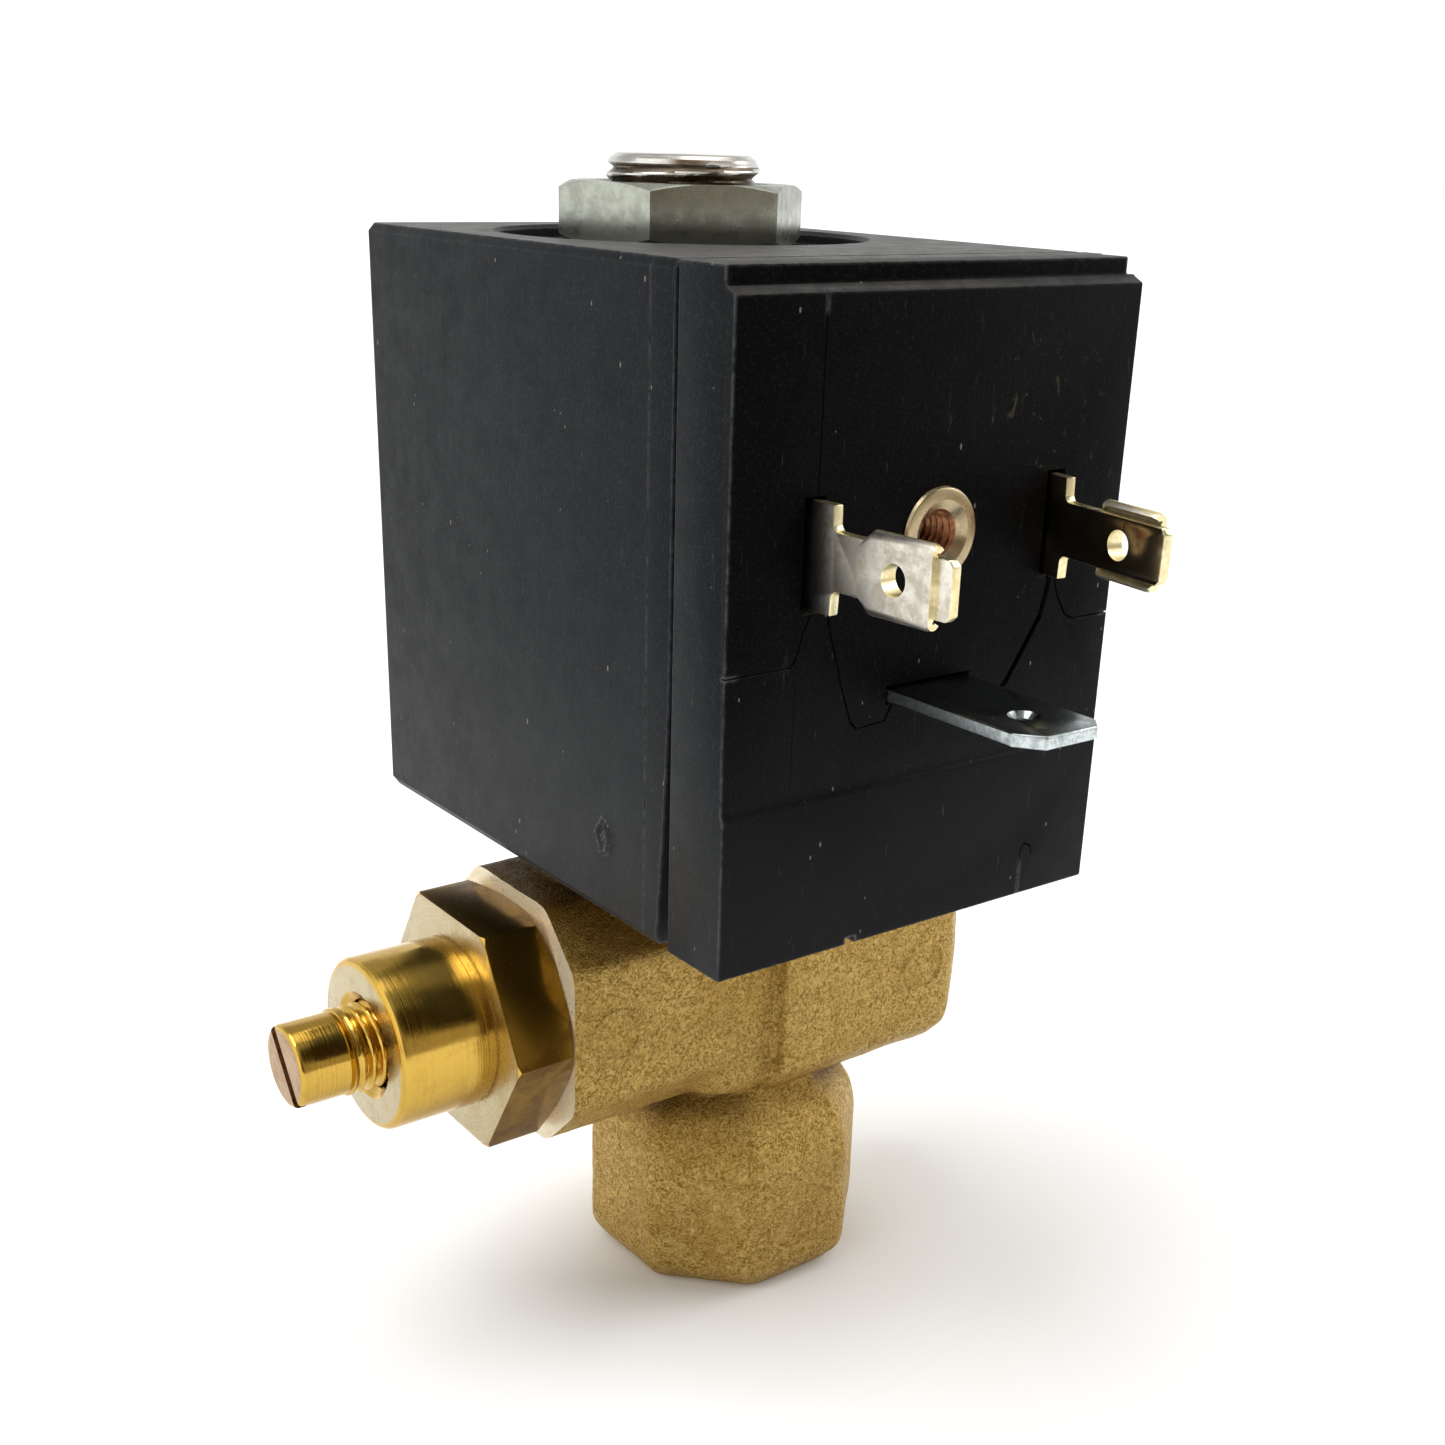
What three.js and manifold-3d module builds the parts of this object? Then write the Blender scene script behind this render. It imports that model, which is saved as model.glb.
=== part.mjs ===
// A direct-acting two-way solenoid valve with a manual flow regulator.
// Millimetres, +Z up. The origin is the centre of the bottom port's mouth. The armature tube stands
// along Z at x = TUBE_X, the contacts of the coil face -Y, the regulator -X and the side port +X.
import * as THREE from "three";
import { mergeVertices } from "three/addons/utils/BufferGeometryUtils.js";
import { ConvexGeometry } from "three/addons/geometries/ConvexGeometry.js";
import Module from "manifold-3d";

// ---- Driving dimensions ----
const GAP = 0.3; // between two pieces that touch in the real valve
const RUN = 0.1; // radial clearance of a sliding or turning piece
const SEGMENTS = 36; // sides of a large round face
const SMALL_SEGMENTS = 20; // sides of a small one
const PAST = 1; // how far a cutter runs past the face it opens

const TUBE_X = -5.8; // armature tube's axis, from the bottom port's axis
const AXIS_Z = 25.0; // common axis of the side port and the regulator
const COIL_Z = 37.5; // underside of the coil

const PORT = { half: 10.1, corner: 5.9, height: 10.0, edge: 1.3 };
const SHOULDER = [[12.4, 9.6], [14.3, 8.4], [15.8, 6.9], [17.4, 5.4]]; // height and half width
const NECK = { x: [-8.2, -1.6], halfY: 8.2, z: [16.0, 22.0] }; // squared underside between arm and port
const ARM = { from: -1.9, to: 16.7, halfY: 9.2, halfZ: 9.3, corner: 2.2, edge: 2.0 };
const BOSS = { from: -19.4, to: 0, halfY: 8.4, halfZ: 9.1, corner: 3.9 };
const THREAD_BORE = { r: 6.0, depth: 11.0, mouthR: 7.0, mouth: 1.0 };
const DUCT_R = 2.5; // vertical outlet duct above the bottom port
const ORIFICE = { r: 1.5, x: -4.2 }; // horizontal orifice that the needle throttles
const SEAT = { r: 2.2, holeR: 1.25, z: 31.0 };
const CHAMBER = { r: 5.6, floorZ: 29.5, topZ: 33.0 };
const TUBE_BOSS = { r: 10.2, rootR: 7.6, coneZ: 28.5, z: 32.2, boreR: 8.4, topZ: 36.7 };
const O_GROOVE = { innerR: 6.1, outerR: 7.8, floorZ: 31.8 };
const INLET = { r: 1.2, z: 29.7 };

const TUBE = { r: 5.0, wall: 0.4, flangeR: 8.1, flangeZ: 33.5, flangeT: 1.0, topZ: 68.0 };
const TUBE_RING = { r: 6.95, wireR: 0.6, z: 32.6 };
const TUBE_NUT = { innerR: 5.3, z: 34.8, topZ: 36.8, slot: 2.0, slotDepth: 0.9 };
const TRAVEL = 1.8; // lift of the plunger
const PLUNGER = { r: TUBE.r - TUBE.wall - 4 * RUN, z: 31.9, topZ: 58.0, pocketR: 2.7, pocketTop: 33.5 };
const SPRING = { boreR: 2.1, boreZ: 50.0, r: 1.55, wireR: 0.25, turns: 7 };
const SEAL = { r: 2.4, z: SEAT.z + 0.25, topZ: 33.2 };
const CORE = { z: PLUNGER.topZ + TRAVEL + 0.4, r: 4.3, stubR: 4.9, topZ: 81.25, lead: 0.5 };
const SHADING = { innerR: 2.9, outerR: 3.5, height: 1.2, slack: 0.2 };

const HEX = { from: -24.2, to: -19.6, across: 16.0, turn: 0.6 };
const NOSE = { from: -30.95, r: 6.0, bevel: 0.45, sinkR: 3.7, sink: 0.35 };
const SPIGOT = { r: 6.2, to: -12.4, boreR: 3.9, boreFrom: -26.0 };
const NEEDLE = { from: -36.6, headR: 2.86, threadFrom: -32.75, threadTo: -26.2, threadR: 2.98, bodyR: 3.4 };
const NEEDLE_TIP = { bodyTo: -13.4, shankR: 1.8, shankTo: -8.0, tipR: 0.3, tipTo: -5.0 };
const SLOT = { width: 0.6, depth: 1.1, turn: -35 }; // turned from upright about +X
const NEEDLE_RING = { x: -18.0, r: 3.22, wireR: 0.52, grooveR: 2.5, grooveWidth: 1.6 };
const BONNET_RING = { x: -18.85, r: 7.0, wireR: 0.5, bedR: 7.7, bedTo: -18.15 };

const COIL = { width: 30.0, front: -25.8, back: 15.1, height: 39.0, edge: 0.7 };
const SEAM_Y = -20.8; // joint between the coil's two mouldings
const CAVITY = { halfX: 12.6, front: -18.6, back: 12.8, z: 1.2, topZ: 38.1 };
const RECESS_R = 11.9; // round opening in the top, round the nut
const FOOT_R = 8.6; // round opening in the underside, round the gasket
const YOKE = { halfX: 12.3, front: -12.3, back: 12.5, z: 1.4, topZ: 37.9, sheet: 2.5, holeR: 5.5 };
const YOKE_STRAP = { halfX: 7.5, front: -14.8 };
const BOBBIN = { boreR: 5.45, r: 6.4, flangeR: 9.6, flangeT: 1.2, z: 4.2, topZ: 35.1 };
const WINDING_R = 9.2;
// step along the front's top edge
const LEDGE = { z: 37.6, lipZ: 38.0, lipY: -25.0, lipEnd: 14.3, endDepth: 2.5 };
const STEP = { z: 10.0, proud: 0.15 }; // the front's lower part stands proud
const CONTACT = { x: 9.0, z: 24.0, sheet: 0.7 };
const lean = (side) => (side < 0 ? 4.0 : 7.5); // degrees that each flat contact leans inwards
const EARTH = { halfX: 3.1, topZ: 15.6, sheet: 0.8, length: 11.3, corner: 1.5, dimpleR: 0.9 };
const INSERT = { r: 2.7, holeR: 1.3, z: 24.3, proud: 0.15, depth: 4.6, hole: 3.6, teeth: 24 };
const LEAD = { r: 0.4, holeR: 0.9, x: 8.9, from: -4.2 };
const SLIT = 0.2; // clearance of a contact in its slit

const NUT = { across: 14.0, z: 76.05, height: 3.55, boreR: 5.15, turn: 40.7 };
const WASHER = { innerR: 5.3, outerR: 7.0, z: 75.6, height: 0.3, split: 0.8 };
const GASKET = { innerR: 5.5, outerR: 8.2, z: 37.1, height: 1.5 };

// ---- Materials ----
const material = (color, roughness, metalness) =>
  new THREE.MeshStandardMaterial({ color, roughness, metalness });
const MATERIALS = {
  forgedBrass: material(0xa98c46, 0.55, 1),
  turnedBrass: material(0xd9b04a, 0.2, 1),
  stainless: material(0xb9bab8, 0.25, 1),
  zinc: material(0xaeb3a8, 0.4, 1),
  tinned: material(0xa7a396, 0.35, 1),
  steel: material(0x6b6b6b, 0.5, 1),
  copper: material(0xb26a3c, 0.35, 1),
  moulding: material(0x303236, 0.6, 0),
  rubber: material(0x17171a, 0.8, 0),
  nylon: material(0xd8d4c6, 0.6, 0),
};

// ---- Solids: three.js makes the shapes, manifold-3d joins and cuts them ----
const wasm = await Module();
wasm.setup();

// A closed geometry as a manifold solid, its faces turned outwards.
function solid(geometry) {
  const bare = geometry.clone();
  bare.deleteAttribute("normal");
  bare.deleteAttribute("uv");
  const merged = mergeVertices(bare, 1e-4);
  const source = merged.index.array;
  const kept = [];
  for (let i = 0; i < source.length; i += 3) {
    const [a, b, c] = source.slice(i, i + 3);
    if (a !== b && b !== c && c !== a) kept.push(a, b, c);
  }
  const build = (triangles) =>
    new wasm.Manifold(
      new wasm.Mesh({
        numProp: 3,
        vertProperties: merged.attributes.position.array,
        triVerts: new Uint32Array(triangles),
      }),
    );
  const made = build(kept);
  return made.volume() > 0 ? made : build(kept.reverse());
}

const join = (first, ...rest) => rest.reduce((all, next) => all.add(next), first);
const cut = (first, ...rest) => rest.reduce((all, next) => all.subtract(next), first);

function geometryOf(manifold) {
  const mesh = manifold.getMesh();
  const geometry = new THREE.BufferGeometry();
  geometry.setAttribute("position", new THREE.BufferAttribute(mesh.vertProperties, mesh.numProp));
  geometry.setIndex(new THREE.BufferAttribute(mesh.triVerts, 1));
  geometry.computeVertexNormals();
  return geometry;
}

function addPiece(parent, name, manifold, finish) {
  const mesh = new THREE.Mesh(geometryOf(manifold), finish);
  mesh.name = name;
  parent.add(mesh);
}

// A solid turned round +Z from [radius, height] points; alongX lays its axis along +X instead.
function turned(points, { x = 0, y = 0, z = 0, alongX = false, alongY = false, sides = SEGMENTS } = {}) {
  const profile = points.map(([r, h]) => new THREE.Vector2(r, h));
  const geometry = new THREE.LatheGeometry(profile, sides).rotateX(Math.PI / 2);
  if (alongX) geometry.rotateY(Math.PI / 2);
  if (alongY) geometry.rotateX(-Math.PI / 2);
  return solid(geometry.translate(x, y, z));
}

const rod = (r, low, high, place) =>
  turned([[0, low], [r, low], [r, high], [0, high]], place);

const tube = (inner, outer, low, high, place) =>
  turned([[inner, low], [outer, low], [outer, high], [inner, high], [inner, low]], place);

function ring(r, wireR, place) {
  const profile = [];
  const steps = 8;
  for (let i = 0; i <= steps; i++) {
    const angle = (2 * Math.PI * i) / steps;
    profile.push([r + wireR * Math.cos(angle), wireR * Math.sin(angle)]);
  }
  profile[steps] = profile[0];
  return turned(profile, { ...place, sides: 24 });
}

function block([x0, x1], [y0, y1], [z0, z1]) {
  const geometry = new THREE.BoxGeometry(x1 - x0, y1 - y0, z1 - z0);
  return solid(geometry.translate((x0 + x1) / 2, (y0 + y1) / 2, (z0 + z1) / 2));
}

// A flat outline given thickness from low to high along Z.
function plate(outline, low, high) {
  const shape = new THREE.Shape(outline.map(([x, y]) => new THREE.Vector2(x, y)));
  return new THREE.ExtrudeGeometry(shape, { depth: high - low, bevelEnabled: false }).translate(0, 0, low);
}

// An outline in the YZ plane, given thickness from low to high along X.
function plateAlongX(outline, low, high) {
  const axes = [[0, 1, 0], [0, 0, 1], [1, 0, 0]].map((axis) => new THREE.Vector3(...axis));
  return solid(plate(outline, low, high).applyMatrix4(new THREE.Matrix4().makeBasis(...axes)));
}

function octagon(halfA, halfB, corner) {
  const points = [];
  for (const [a, b] of [[1, 1], [-1, 1], [-1, -1], [1, -1]]) {
    points.push([a * (halfA - corner), b * halfB], [a * halfA, b * (halfB - corner)]);
  }
  return points;
}

// The convex body through octagons [position along the axis, half, half, corner].
function octagonal(sections, alongX, centreZ = 0) {
  const points = sections.flatMap(([at, halfA, halfB, corner]) =>
    octagon(halfA, halfB, corner).map(([a, b]) =>
      alongX ? new THREE.Vector3(at, a, centreZ + b) : new THREE.Vector3(a, b, at),
    ),
  );
  return solid(new ConvexGeometry(points));
}

function hexagon(across, turn) {
  const radius = across / Math.sqrt(3);
  const points = [];
  for (let i = 0; i < 6; i++) {
    const angle = THREE.MathUtils.degToRad(turn + 60 * i);
    points.push([radius * Math.cos(angle), radius * Math.sin(angle)]);
  }
  return points;
}

// A round wire swept along a curve.
function wire(curve, radius, steps, sides) {
  const section = new THREE.Shape();
  section.absarc(0, 0, radius, 0, 2 * Math.PI);
  const options = { steps, curveSegments: sides, extrudePath: curve, bevelEnabled: false };
  return solid(new THREE.ExtrudeGeometry(section, options));
}

const onTube = { x: TUBE_X };
const onAxis = { z: AXIS_Z, alongX: true };

// ---- Valve body ----
function valveBody() {
  const { half, corner, height, edge } = PORT;
  const inset = edge * (Math.SQRT2 - 1);
  const port = octagonal([
    [0, half - edge, half - edge, corner - inset],
    [edge, half, half, corner],
    [height, half, half, corner],
    ...SHOULDER.map(([z, halfWidth]) => [z, halfWidth, halfWidth, (corner * halfWidth) / half]),
  ]);
  const neck = block(NECK.x, [-NECK.halfY, NECK.halfY], NECK.z);
  const armInset = ARM.edge * (Math.SQRT2 - 1);
  const arm = octagonal(
    [
      [ARM.from, ARM.halfY, ARM.halfZ, ARM.corner],
      [ARM.to - ARM.edge, ARM.halfY, ARM.halfZ, ARM.corner],
      [ARM.to, ARM.halfY - ARM.edge, ARM.halfZ - ARM.edge, ARM.corner - armInset],
    ],
    true,
    AXIS_Z,
  );
  const boss = octagonal(
    [
      [BOSS.from, BOSS.halfY, BOSS.halfZ, BOSS.corner],
      [BOSS.to, BOSS.halfY, BOSS.halfZ, BOSS.corner],
    ],
    true,
    AXIS_Z,
  );
  const { rootR, coneZ, z, topZ } = TUBE_BOSS;
  const tubeBoss = turned(
    [[0, AXIS_Z], [rootR, AXIS_Z], [rootR, coneZ], [TUBE_BOSS.r, z], [TUBE_BOSS.r, topZ], [0, topZ]],
    onTube,
  );
  const forging = join(port, neck, arm, boss, tubeBoss);

  const { r, depth, mouthR, mouth } = THREAD_BORE;
  const portBore = (place) =>
    turned([[0, -PAST], [mouthR, -PAST], [mouthR, 0], [r, mouth], [r, depth], [0, depth + 1.5]], place);
  const bottomBore = portBore({});
  const sideBore = portBore({ alongX: true }).rotate([0, 0, 180]).translate([ARM.to, 0, AXIS_Z]);
  const duct = rod(DUCT_R, depth, AXIS_Z + ORIFICE.r, { sides: SMALL_SEGMENTS });
  const orifice = rod(ORIFICE.r, ORIFICE.x - PAST, 0, { ...onAxis, sides: SMALL_SEGMENTS });
  const needleChamber = rod(SPIGOT.boreR - GAP, SPIGOT.to, ORIFICE.x, { ...onAxis, sides: SMALL_SEGMENTS });
  const spigotBore = rod(SPIGOT.r + GAP, BOSS.from - PAST, SPIGOT.to + GAP, onAxis);
  const ringBed = rod(BONNET_RING.bedR, BOSS.from - PAST, BONNET_RING.bedTo, onAxis);
  const seatHole = rod(SEAT.holeR, AXIS_Z, SEAT.z + PAST, { ...onTube, sides: SMALL_SEGMENTS });
  const chamber = tube(SEAT.r, CHAMBER.r, CHAMBER.floorZ, SEAT.z, onTube);
  const chamberTop = rod(CHAMBER.r, SEAT.z, CHAMBER.topZ + PAST, onTube);
  const ringGroove = tube(O_GROOVE.innerR, O_GROOVE.outerR, O_GROOVE.floorZ, CHAMBER.topZ + PAST, onTube);
  const tubeBore = rod(TUBE_BOSS.boreR, CHAMBER.topZ, TUBE_BOSS.topZ + PAST, onTube);
  const inlet = rod(INLET.r, TUBE_X + CHAMBER.r - PAST, ARM.to - depth + PAST, {
    z: INLET.z,
    alongX: true,
    sides: SMALL_SEGMENTS,
  });
  return cut(
    forging, bottomBore, sideBore, duct, orifice, needleChamber, spigotBore, ringBed,
    seatHole, chamber, chamberTop, ringGroove, tubeBore, inlet,
  );
}

// ---- Armature tube and what it holds ----
function armatureTube() {
  const { r, wall, flangeR, flangeZ, flangeT, topZ } = TUBE;
  const inner = r - wall;
  return turned(
    [
      [inner, flangeZ], [flangeR, flangeZ], [flangeR, flangeZ + flangeT],
      [r, flangeZ + flangeT], [r, topZ], [inner, topZ], [inner, flangeZ],
    ],
    onTube,
  );
}

function tubeNut() {
  const { innerR, z, topZ, slot, slotDepth } = TUBE_NUT;
  const outerR = TUBE_BOSS.boreR - GAP;
  const body = tube(innerR, outerR, z, topZ, onTube);
  const along = [TUBE_X - outerR - PAST, TUBE_X + outerR + PAST];
  const slots = block(along, [-slot / 2, slot / 2], [topZ - slotDepth, topZ + PAST]);
  return cut(body, slots);
}

function fixedCore() {
  const { z, r, stubR, topZ, lead } = CORE;
  const shoulderZ = TUBE.topZ + GAP;
  const body = turned(
    [
      [0, z], [r, z], [r, shoulderZ], [stubR, shoulderZ],
      [stubR, topZ - lead], [stubR - lead, topZ], [0, topZ],
    ],
    onTube,
  );
  const { innerR, outerR, height, slack } = SHADING;
  const groove = tube(innerR - slack, outerR + slack, z - PAST, z + height + 2 * slack, onTube);
  return cut(body, groove);
}

function shadingRing() {
  const low = CORE.z + SHADING.slack;
  return tube(SHADING.innerR, SHADING.outerR, low, low + SHADING.height, onTube);
}

function plunger() {
  const { r, z, topZ, pocketR, pocketTop } = PLUNGER;
  const bevel = 0.5;
  const body = turned(
    [[0, z], [r - bevel, z], [r, z + bevel], [r, topZ - bevel], [r - bevel, topZ], [0, topZ]],
    onTube,
  );
  const pocket = rod(pocketR, z - PAST, pocketTop, { ...onTube, sides: SMALL_SEGMENTS });
  const springBore = rod(SPRING.boreR, SPRING.boreZ, topZ + PAST, { ...onTube, sides: SMALL_SEGMENTS });
  const slotHalf = 0.5;
  const slotFloor = 3.4;
  const flutes = [-1, 1].map((side) =>
    block(
      [TUBE_X - slotHalf, TUBE_X + slotHalf],
      side < 0 ? [-r - PAST, -slotFloor] : [slotFloor, r + PAST],
      [z - PAST, topZ + PAST],
    ),
  );
  return cut(body, pocket, springBore, ...flutes);
}

class Helix extends THREE.Curve {
  constructor(x, radius, low, high, turns) {
    super();
    Object.assign(this, { x, radius, low, high, turns });
  }

  getPoint(t, target = new THREE.Vector3()) {
    const angle = 2 * Math.PI * this.turns * t;
    const z = this.low + (this.high - this.low) * t;
    return target.set(this.x + this.radius * Math.cos(angle), this.radius * Math.sin(angle), z);
  }
}

function plungerSpring() {
  const low = SPRING.boreZ + SPRING.wireR + GAP / 2;
  const high = CORE.z - SPRING.wireR - GAP / 2;
  const path = new Helix(TUBE_X, SPRING.r, low, high, SPRING.turns);
  return wire(path, SPRING.wireR, SPRING.turns * 12, 3);
}

// ---- Regulator ----
function regulatorBonnet() {
  const { from, to, across, turn } = HEX;
  const hexPlate = plateAlongX(
    hexagon(across, turn).map(([y, z]) => [y, z + AXIS_Z]),
    from,
    to,
  );
  const cornerR = across / Math.sqrt(3);
  const flatR = across / 2;
  const bevel = (cornerR - flatR) / Math.sqrt(3) + RUN;
  const dome = turned(
    [[0, from - PAST], [cornerR + PAST, from - PAST], [cornerR + PAST, to - 2 * bevel], [flatR, to], [0, to]],
    onAxis,
  );
  const nose = turned(
    [
      [0, NOSE.from], [NOSE.r - NOSE.bevel, NOSE.from], [NOSE.r, NOSE.from + NOSE.bevel],
      [NOSE.r, from + PAST], [0, from + PAST],
    ],
    onAxis,
  );
  const spigot = rod(SPIGOT.r, to - PAST, SPIGOT.to, onAxis);
  const threadR = NEEDLE.threadR + RUN;
  const bore = turned(
    [
      [0, NOSE.from - PAST], [NOSE.sinkR, NOSE.from - PAST], [NOSE.sinkR, NOSE.from],
      [threadR, NOSE.from + NOSE.sink], [threadR, SPIGOT.boreFrom], [SPIGOT.boreR, SPIGOT.boreFrom],
      [SPIGOT.boreR, SPIGOT.to + PAST], [0, SPIGOT.to + PAST],
    ],
    onAxis,
  );
  return cut(join(hexPlate.intersect(dome), nose, spigot), bore);
}

function needleScrew() {
  const { from, headR, threadFrom, threadTo, threadR, bodyR } = NEEDLE;
  const { bodyTo, shankR, shankTo, tipR, tipTo } = NEEDLE_TIP;
  const { x, grooveR, grooveWidth } = NEEDLE_RING;
  const bevel = 0.3;
  const bodyFrom = SPIGOT.boreFrom + 1.2;
  const body = turned(
    [
      [0, from], [headR - bevel, from], [headR, from + bevel], [headR, threadFrom],
      [threadR, threadFrom + bevel / 2], [threadR, threadTo], [grooveR, threadTo + bevel],
      [grooveR, bodyFrom], [bodyR, bodyFrom], [bodyR, x - grooveWidth / 2], [grooveR, x - grooveWidth / 2],
      [grooveR, x + grooveWidth / 2], [bodyR, x + grooveWidth / 2], [bodyR, bodyTo], [shankR, bodyTo],
      [shankR, shankTo], [tipR, tipTo], [0, tipTo],
    ],
    { ...onAxis, sides: 28 },
  );
  const slotReach = headR + PAST;
  const slot = block(
    [from - PAST, from + SLOT.depth],
    [-SLOT.width / 2, SLOT.width / 2],
    [-slotReach, slotReach],
  );
  return cut(body, slot.rotate([SLOT.turn, 0, 0]).translate([0, 0, AXIS_Z]));
}

// ---- Coil: modelled about its own bore, with its underside at z = 0 ----
function coilHousing() {
  const { back, edge: e } = COIL;
  const half = COIL.width / 2;
  const front = SEAM_Y + GAP / 2;
  const outline = [
    [-half, front], [half, front], [half, back - e], [half - e, back], [-half + e, back], [-half, back - e],
  ];
  const shell = solid(plate(outline, 0, COIL.height));
  const cavity = block([-CAVITY.halfX, CAVITY.halfX], [CAVITY.front, CAVITY.back], [CAVITY.z, CAVITY.topZ]);
  const recess = rod(RECESS_R, CAVITY.topZ - PAST, COIL.height + PAST);
  const foot = rod(FOOT_R, -PAST, CAVITY.z + PAST);
  const leadHoles = [-1, 1].map((side) => {
    const place = { x: side * LEAD.x, z: CONTACT.z, alongY: true, sides: 12 };
    return rod(LEAD.holeR, front - PAST, CAVITY.front + PAST, place);
  });
  const earthSlit = block(
    [-EARTH.halfX - SLIT, EARTH.halfX + SLIT],
    [front - PAST, CAVITY.front + PAST],
    [EARTH.topZ - EARTH.sheet - SLIT, EARTH.topZ + SLIT],
  );
  return cut(shell, cavity, recess, foot, ...leadHoles, earthSlit);
}

function connectorBlock() {
  const { front } = COIL;
  const half = COIL.width / 2;
  const back = SEAM_Y - GAP / 2;
  const bevel = 0.5;
  const profile = [
    [front - STEP.proud + bevel, 0], [front - STEP.proud, bevel], [front - STEP.proud, STEP.z - STEP.proud],
    [front, STEP.z], [front, LEDGE.z], [LEDGE.lipY, LEDGE.lipZ], [LEDGE.lipY, COIL.height],
    [back, COIL.height], [back, 0],
  ];
  const body = plateAlongX(profile, -half, half);
  const lipEnd = block(
    [LEDGE.lipEnd, half + PAST],
    [front - PAST, LEDGE.lipY + LEDGE.endDepth],
    [LEDGE.lipZ, COIL.height + PAST],
  );
  const through = [front - PAST, back + PAST];
  const root = CONTACT_ROOT;
  const slitHalf = CONTACT.sheet / 2 + SLIT;
  const contactSlits = [-1, 1].map((side) => {
    const inner = side * (CONTACT.x - slitHalf);
    const leanShift = Math.tan(THREE.MathUtils.degToRad(lean(side))) * (back - front);
    const outer = side * (CONTACT.x + slitHalf + leanShift);
    return block(
      [Math.min(inner, outer), Math.max(inner, outer)],
      through,
      [CONTACT.z - root.half - SLIT, CONTACT.z + root.half + SLIT],
    );
  });
  const earthSlit = block(
    [-EARTH.halfX - SLIT, EARTH.halfX + SLIT],
    through,
    [EARTH.topZ - EARTH.sheet - SLIT, EARTH.topZ + SLIT],
  );
  const insertHole = rod(INSERT.r + GAP, front - PAST, front + INSERT.depth, { z: INSERT.z, alongY: true });
  return cut(body, lipEnd, ...contactSlits, earthSlit, insertHole);
}

// Flat contact, drawn along its length from the coil's front face: a root with shoulders, a neck, and
// a folded blade whose two edges are rolled over its outer side.
const CONTACT_ROOT = { half: 3.05, proud: 1.6, tail: 4.3 };
const BLADE = { neckHalf: 1.6, length: 10.5, corner: 0.4, holeAt: 6.5, holeR: 0.9 };
const WING = { from: 3.9, ramp: 0.9, to: 9.2, half: 2.1, sheet: 0.4, lip: 0.3 };

function powerTab(side) {
  const { half, proud, tail } = CONTACT_ROOT;
  const { neckHalf, length, corner, holeAt, holeR } = BLADE;
  const t = CONTACT.sheet / 2;
  const leaf = solid(
    plate(
      [
        [tail, -half], [tail, half], [-proud, half], [-proud, neckHalf], [-length + corner, neckHalf],
        [-length, neckHalf - corner], [-length, -neckHalf + corner], [-length + corner, -neckHalf],
        [-proud, -neckHalf], [-proud, -half],
      ],
      -t,
      t,
    ),
  );
  const wingOutline = [
    [-WING.from, -neckHalf], [-WING.from, neckHalf], [-WING.from - WING.ramp, WING.half],
    [-WING.to + corner, WING.half], [-WING.to, WING.half - corner], [-WING.to, -WING.half + corner],
    [-WING.to + corner, -WING.half], [-WING.from - WING.ramp, -WING.half],
  ];
  const wing = solid(plate(wingOutline, t - RUN, t + WING.sheet));
  const lips = [-1, 1].map((edge) => {
    const [low, high] = [edge * WING.half, edge * (WING.half - WING.lip)];
    return block(
      [-WING.to + corner, -WING.from - WING.ramp],
      [Math.min(low, high), Math.max(low, high)],
      [-t, t + WING.sheet],
    );
  });
  const hole = rod(holeR, -PAST, PAST, { x: -holeAt, sides: SMALL_SEGMENTS });
  const flat = cut(join(leaf, wing, ...lips), hole);
  // The outline's first axis runs along Y and its second along Z; the folded side faces outwards.
  const upright = flat.rotate([90, 0, 0]).rotate([0, 0, 90]);
  const handed = side > 0 ? upright : upright.mirror([1, 0, 0]);
  return handed.rotate([0, 0, -side * lean(side)]).translate([side * CONTACT.x, COIL.front, CONTACT.z]);
}

function earthTab() {
  const { halfX, topZ, sheet, length, corner, dimpleR } = EARTH;
  const tip = COIL.front - length;
  const taper = 0.4;
  const tail = YOKE_STRAP.front - GAP;
  const blade = solid(
    plate(
      [
        [-halfX, tail], [-halfX, COIL.front], [-halfX + taper, tip + corner], [-halfX + taper + corner, tip],
        [halfX - taper - corner, tip], [halfX - taper, tip + corner], [halfX, COIL.front], [halfX, tail],
      ],
      topZ - sheet,
      topZ,
    ),
  );
  const depth = sheet / 2;
  const dimple = rod(dimpleR, topZ - depth, topZ + PAST, { y: COIL.front - 7.8, sides: SMALL_SEGMENTS });
  return cut(blade, dimple);
}

function screwInsert() {
  const { r, holeR, z, proud, depth, hole, teeth } = INSERT;
  const outline = [];
  for (let i = 0; i < 2 * teeth; i++) {
    const angle = (Math.PI * i) / teeth;
    const radius = i % 2 ? r : r - 0.15;
    outline.push([radius * Math.cos(angle), radius * Math.sin(angle)]);
  }
  const body = solid(plate(outline, -proud, depth - GAP));
  const bore = turned(
    [[0, -PAST], [1.75, -PAST], [1.75, -proud], [holeR + 0.2, 0.35], [holeR, 0.5], [holeR, hole], [0, hole]],
    { sides: SMALL_SEGMENTS },
  );
  return cut(body, bore).rotate([-90, 0, 0]).translate([0, COIL.front, z]);
}

function yokeFrame() {
  const { halfX, front, back, z, topZ, sheet, holeR } = YOKE;
  const profile = [
    [front, z], [back, z], [back, topZ], [front, topZ], [front, topZ - sheet],
    [back - sheet, topZ - sheet], [back - sheet, z + sheet], [front, z + sheet],
  ];
  return cut(plateAlongX(profile, -halfX, halfX), rod(holeR, z - PAST, topZ + PAST));
}

function yokeStrap() {
  const { z, topZ, front } = YOKE;
  return block([-YOKE_STRAP.halfX, YOKE_STRAP.halfX], [YOKE_STRAP.front, front - GAP], [z, topZ]);
}

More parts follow.
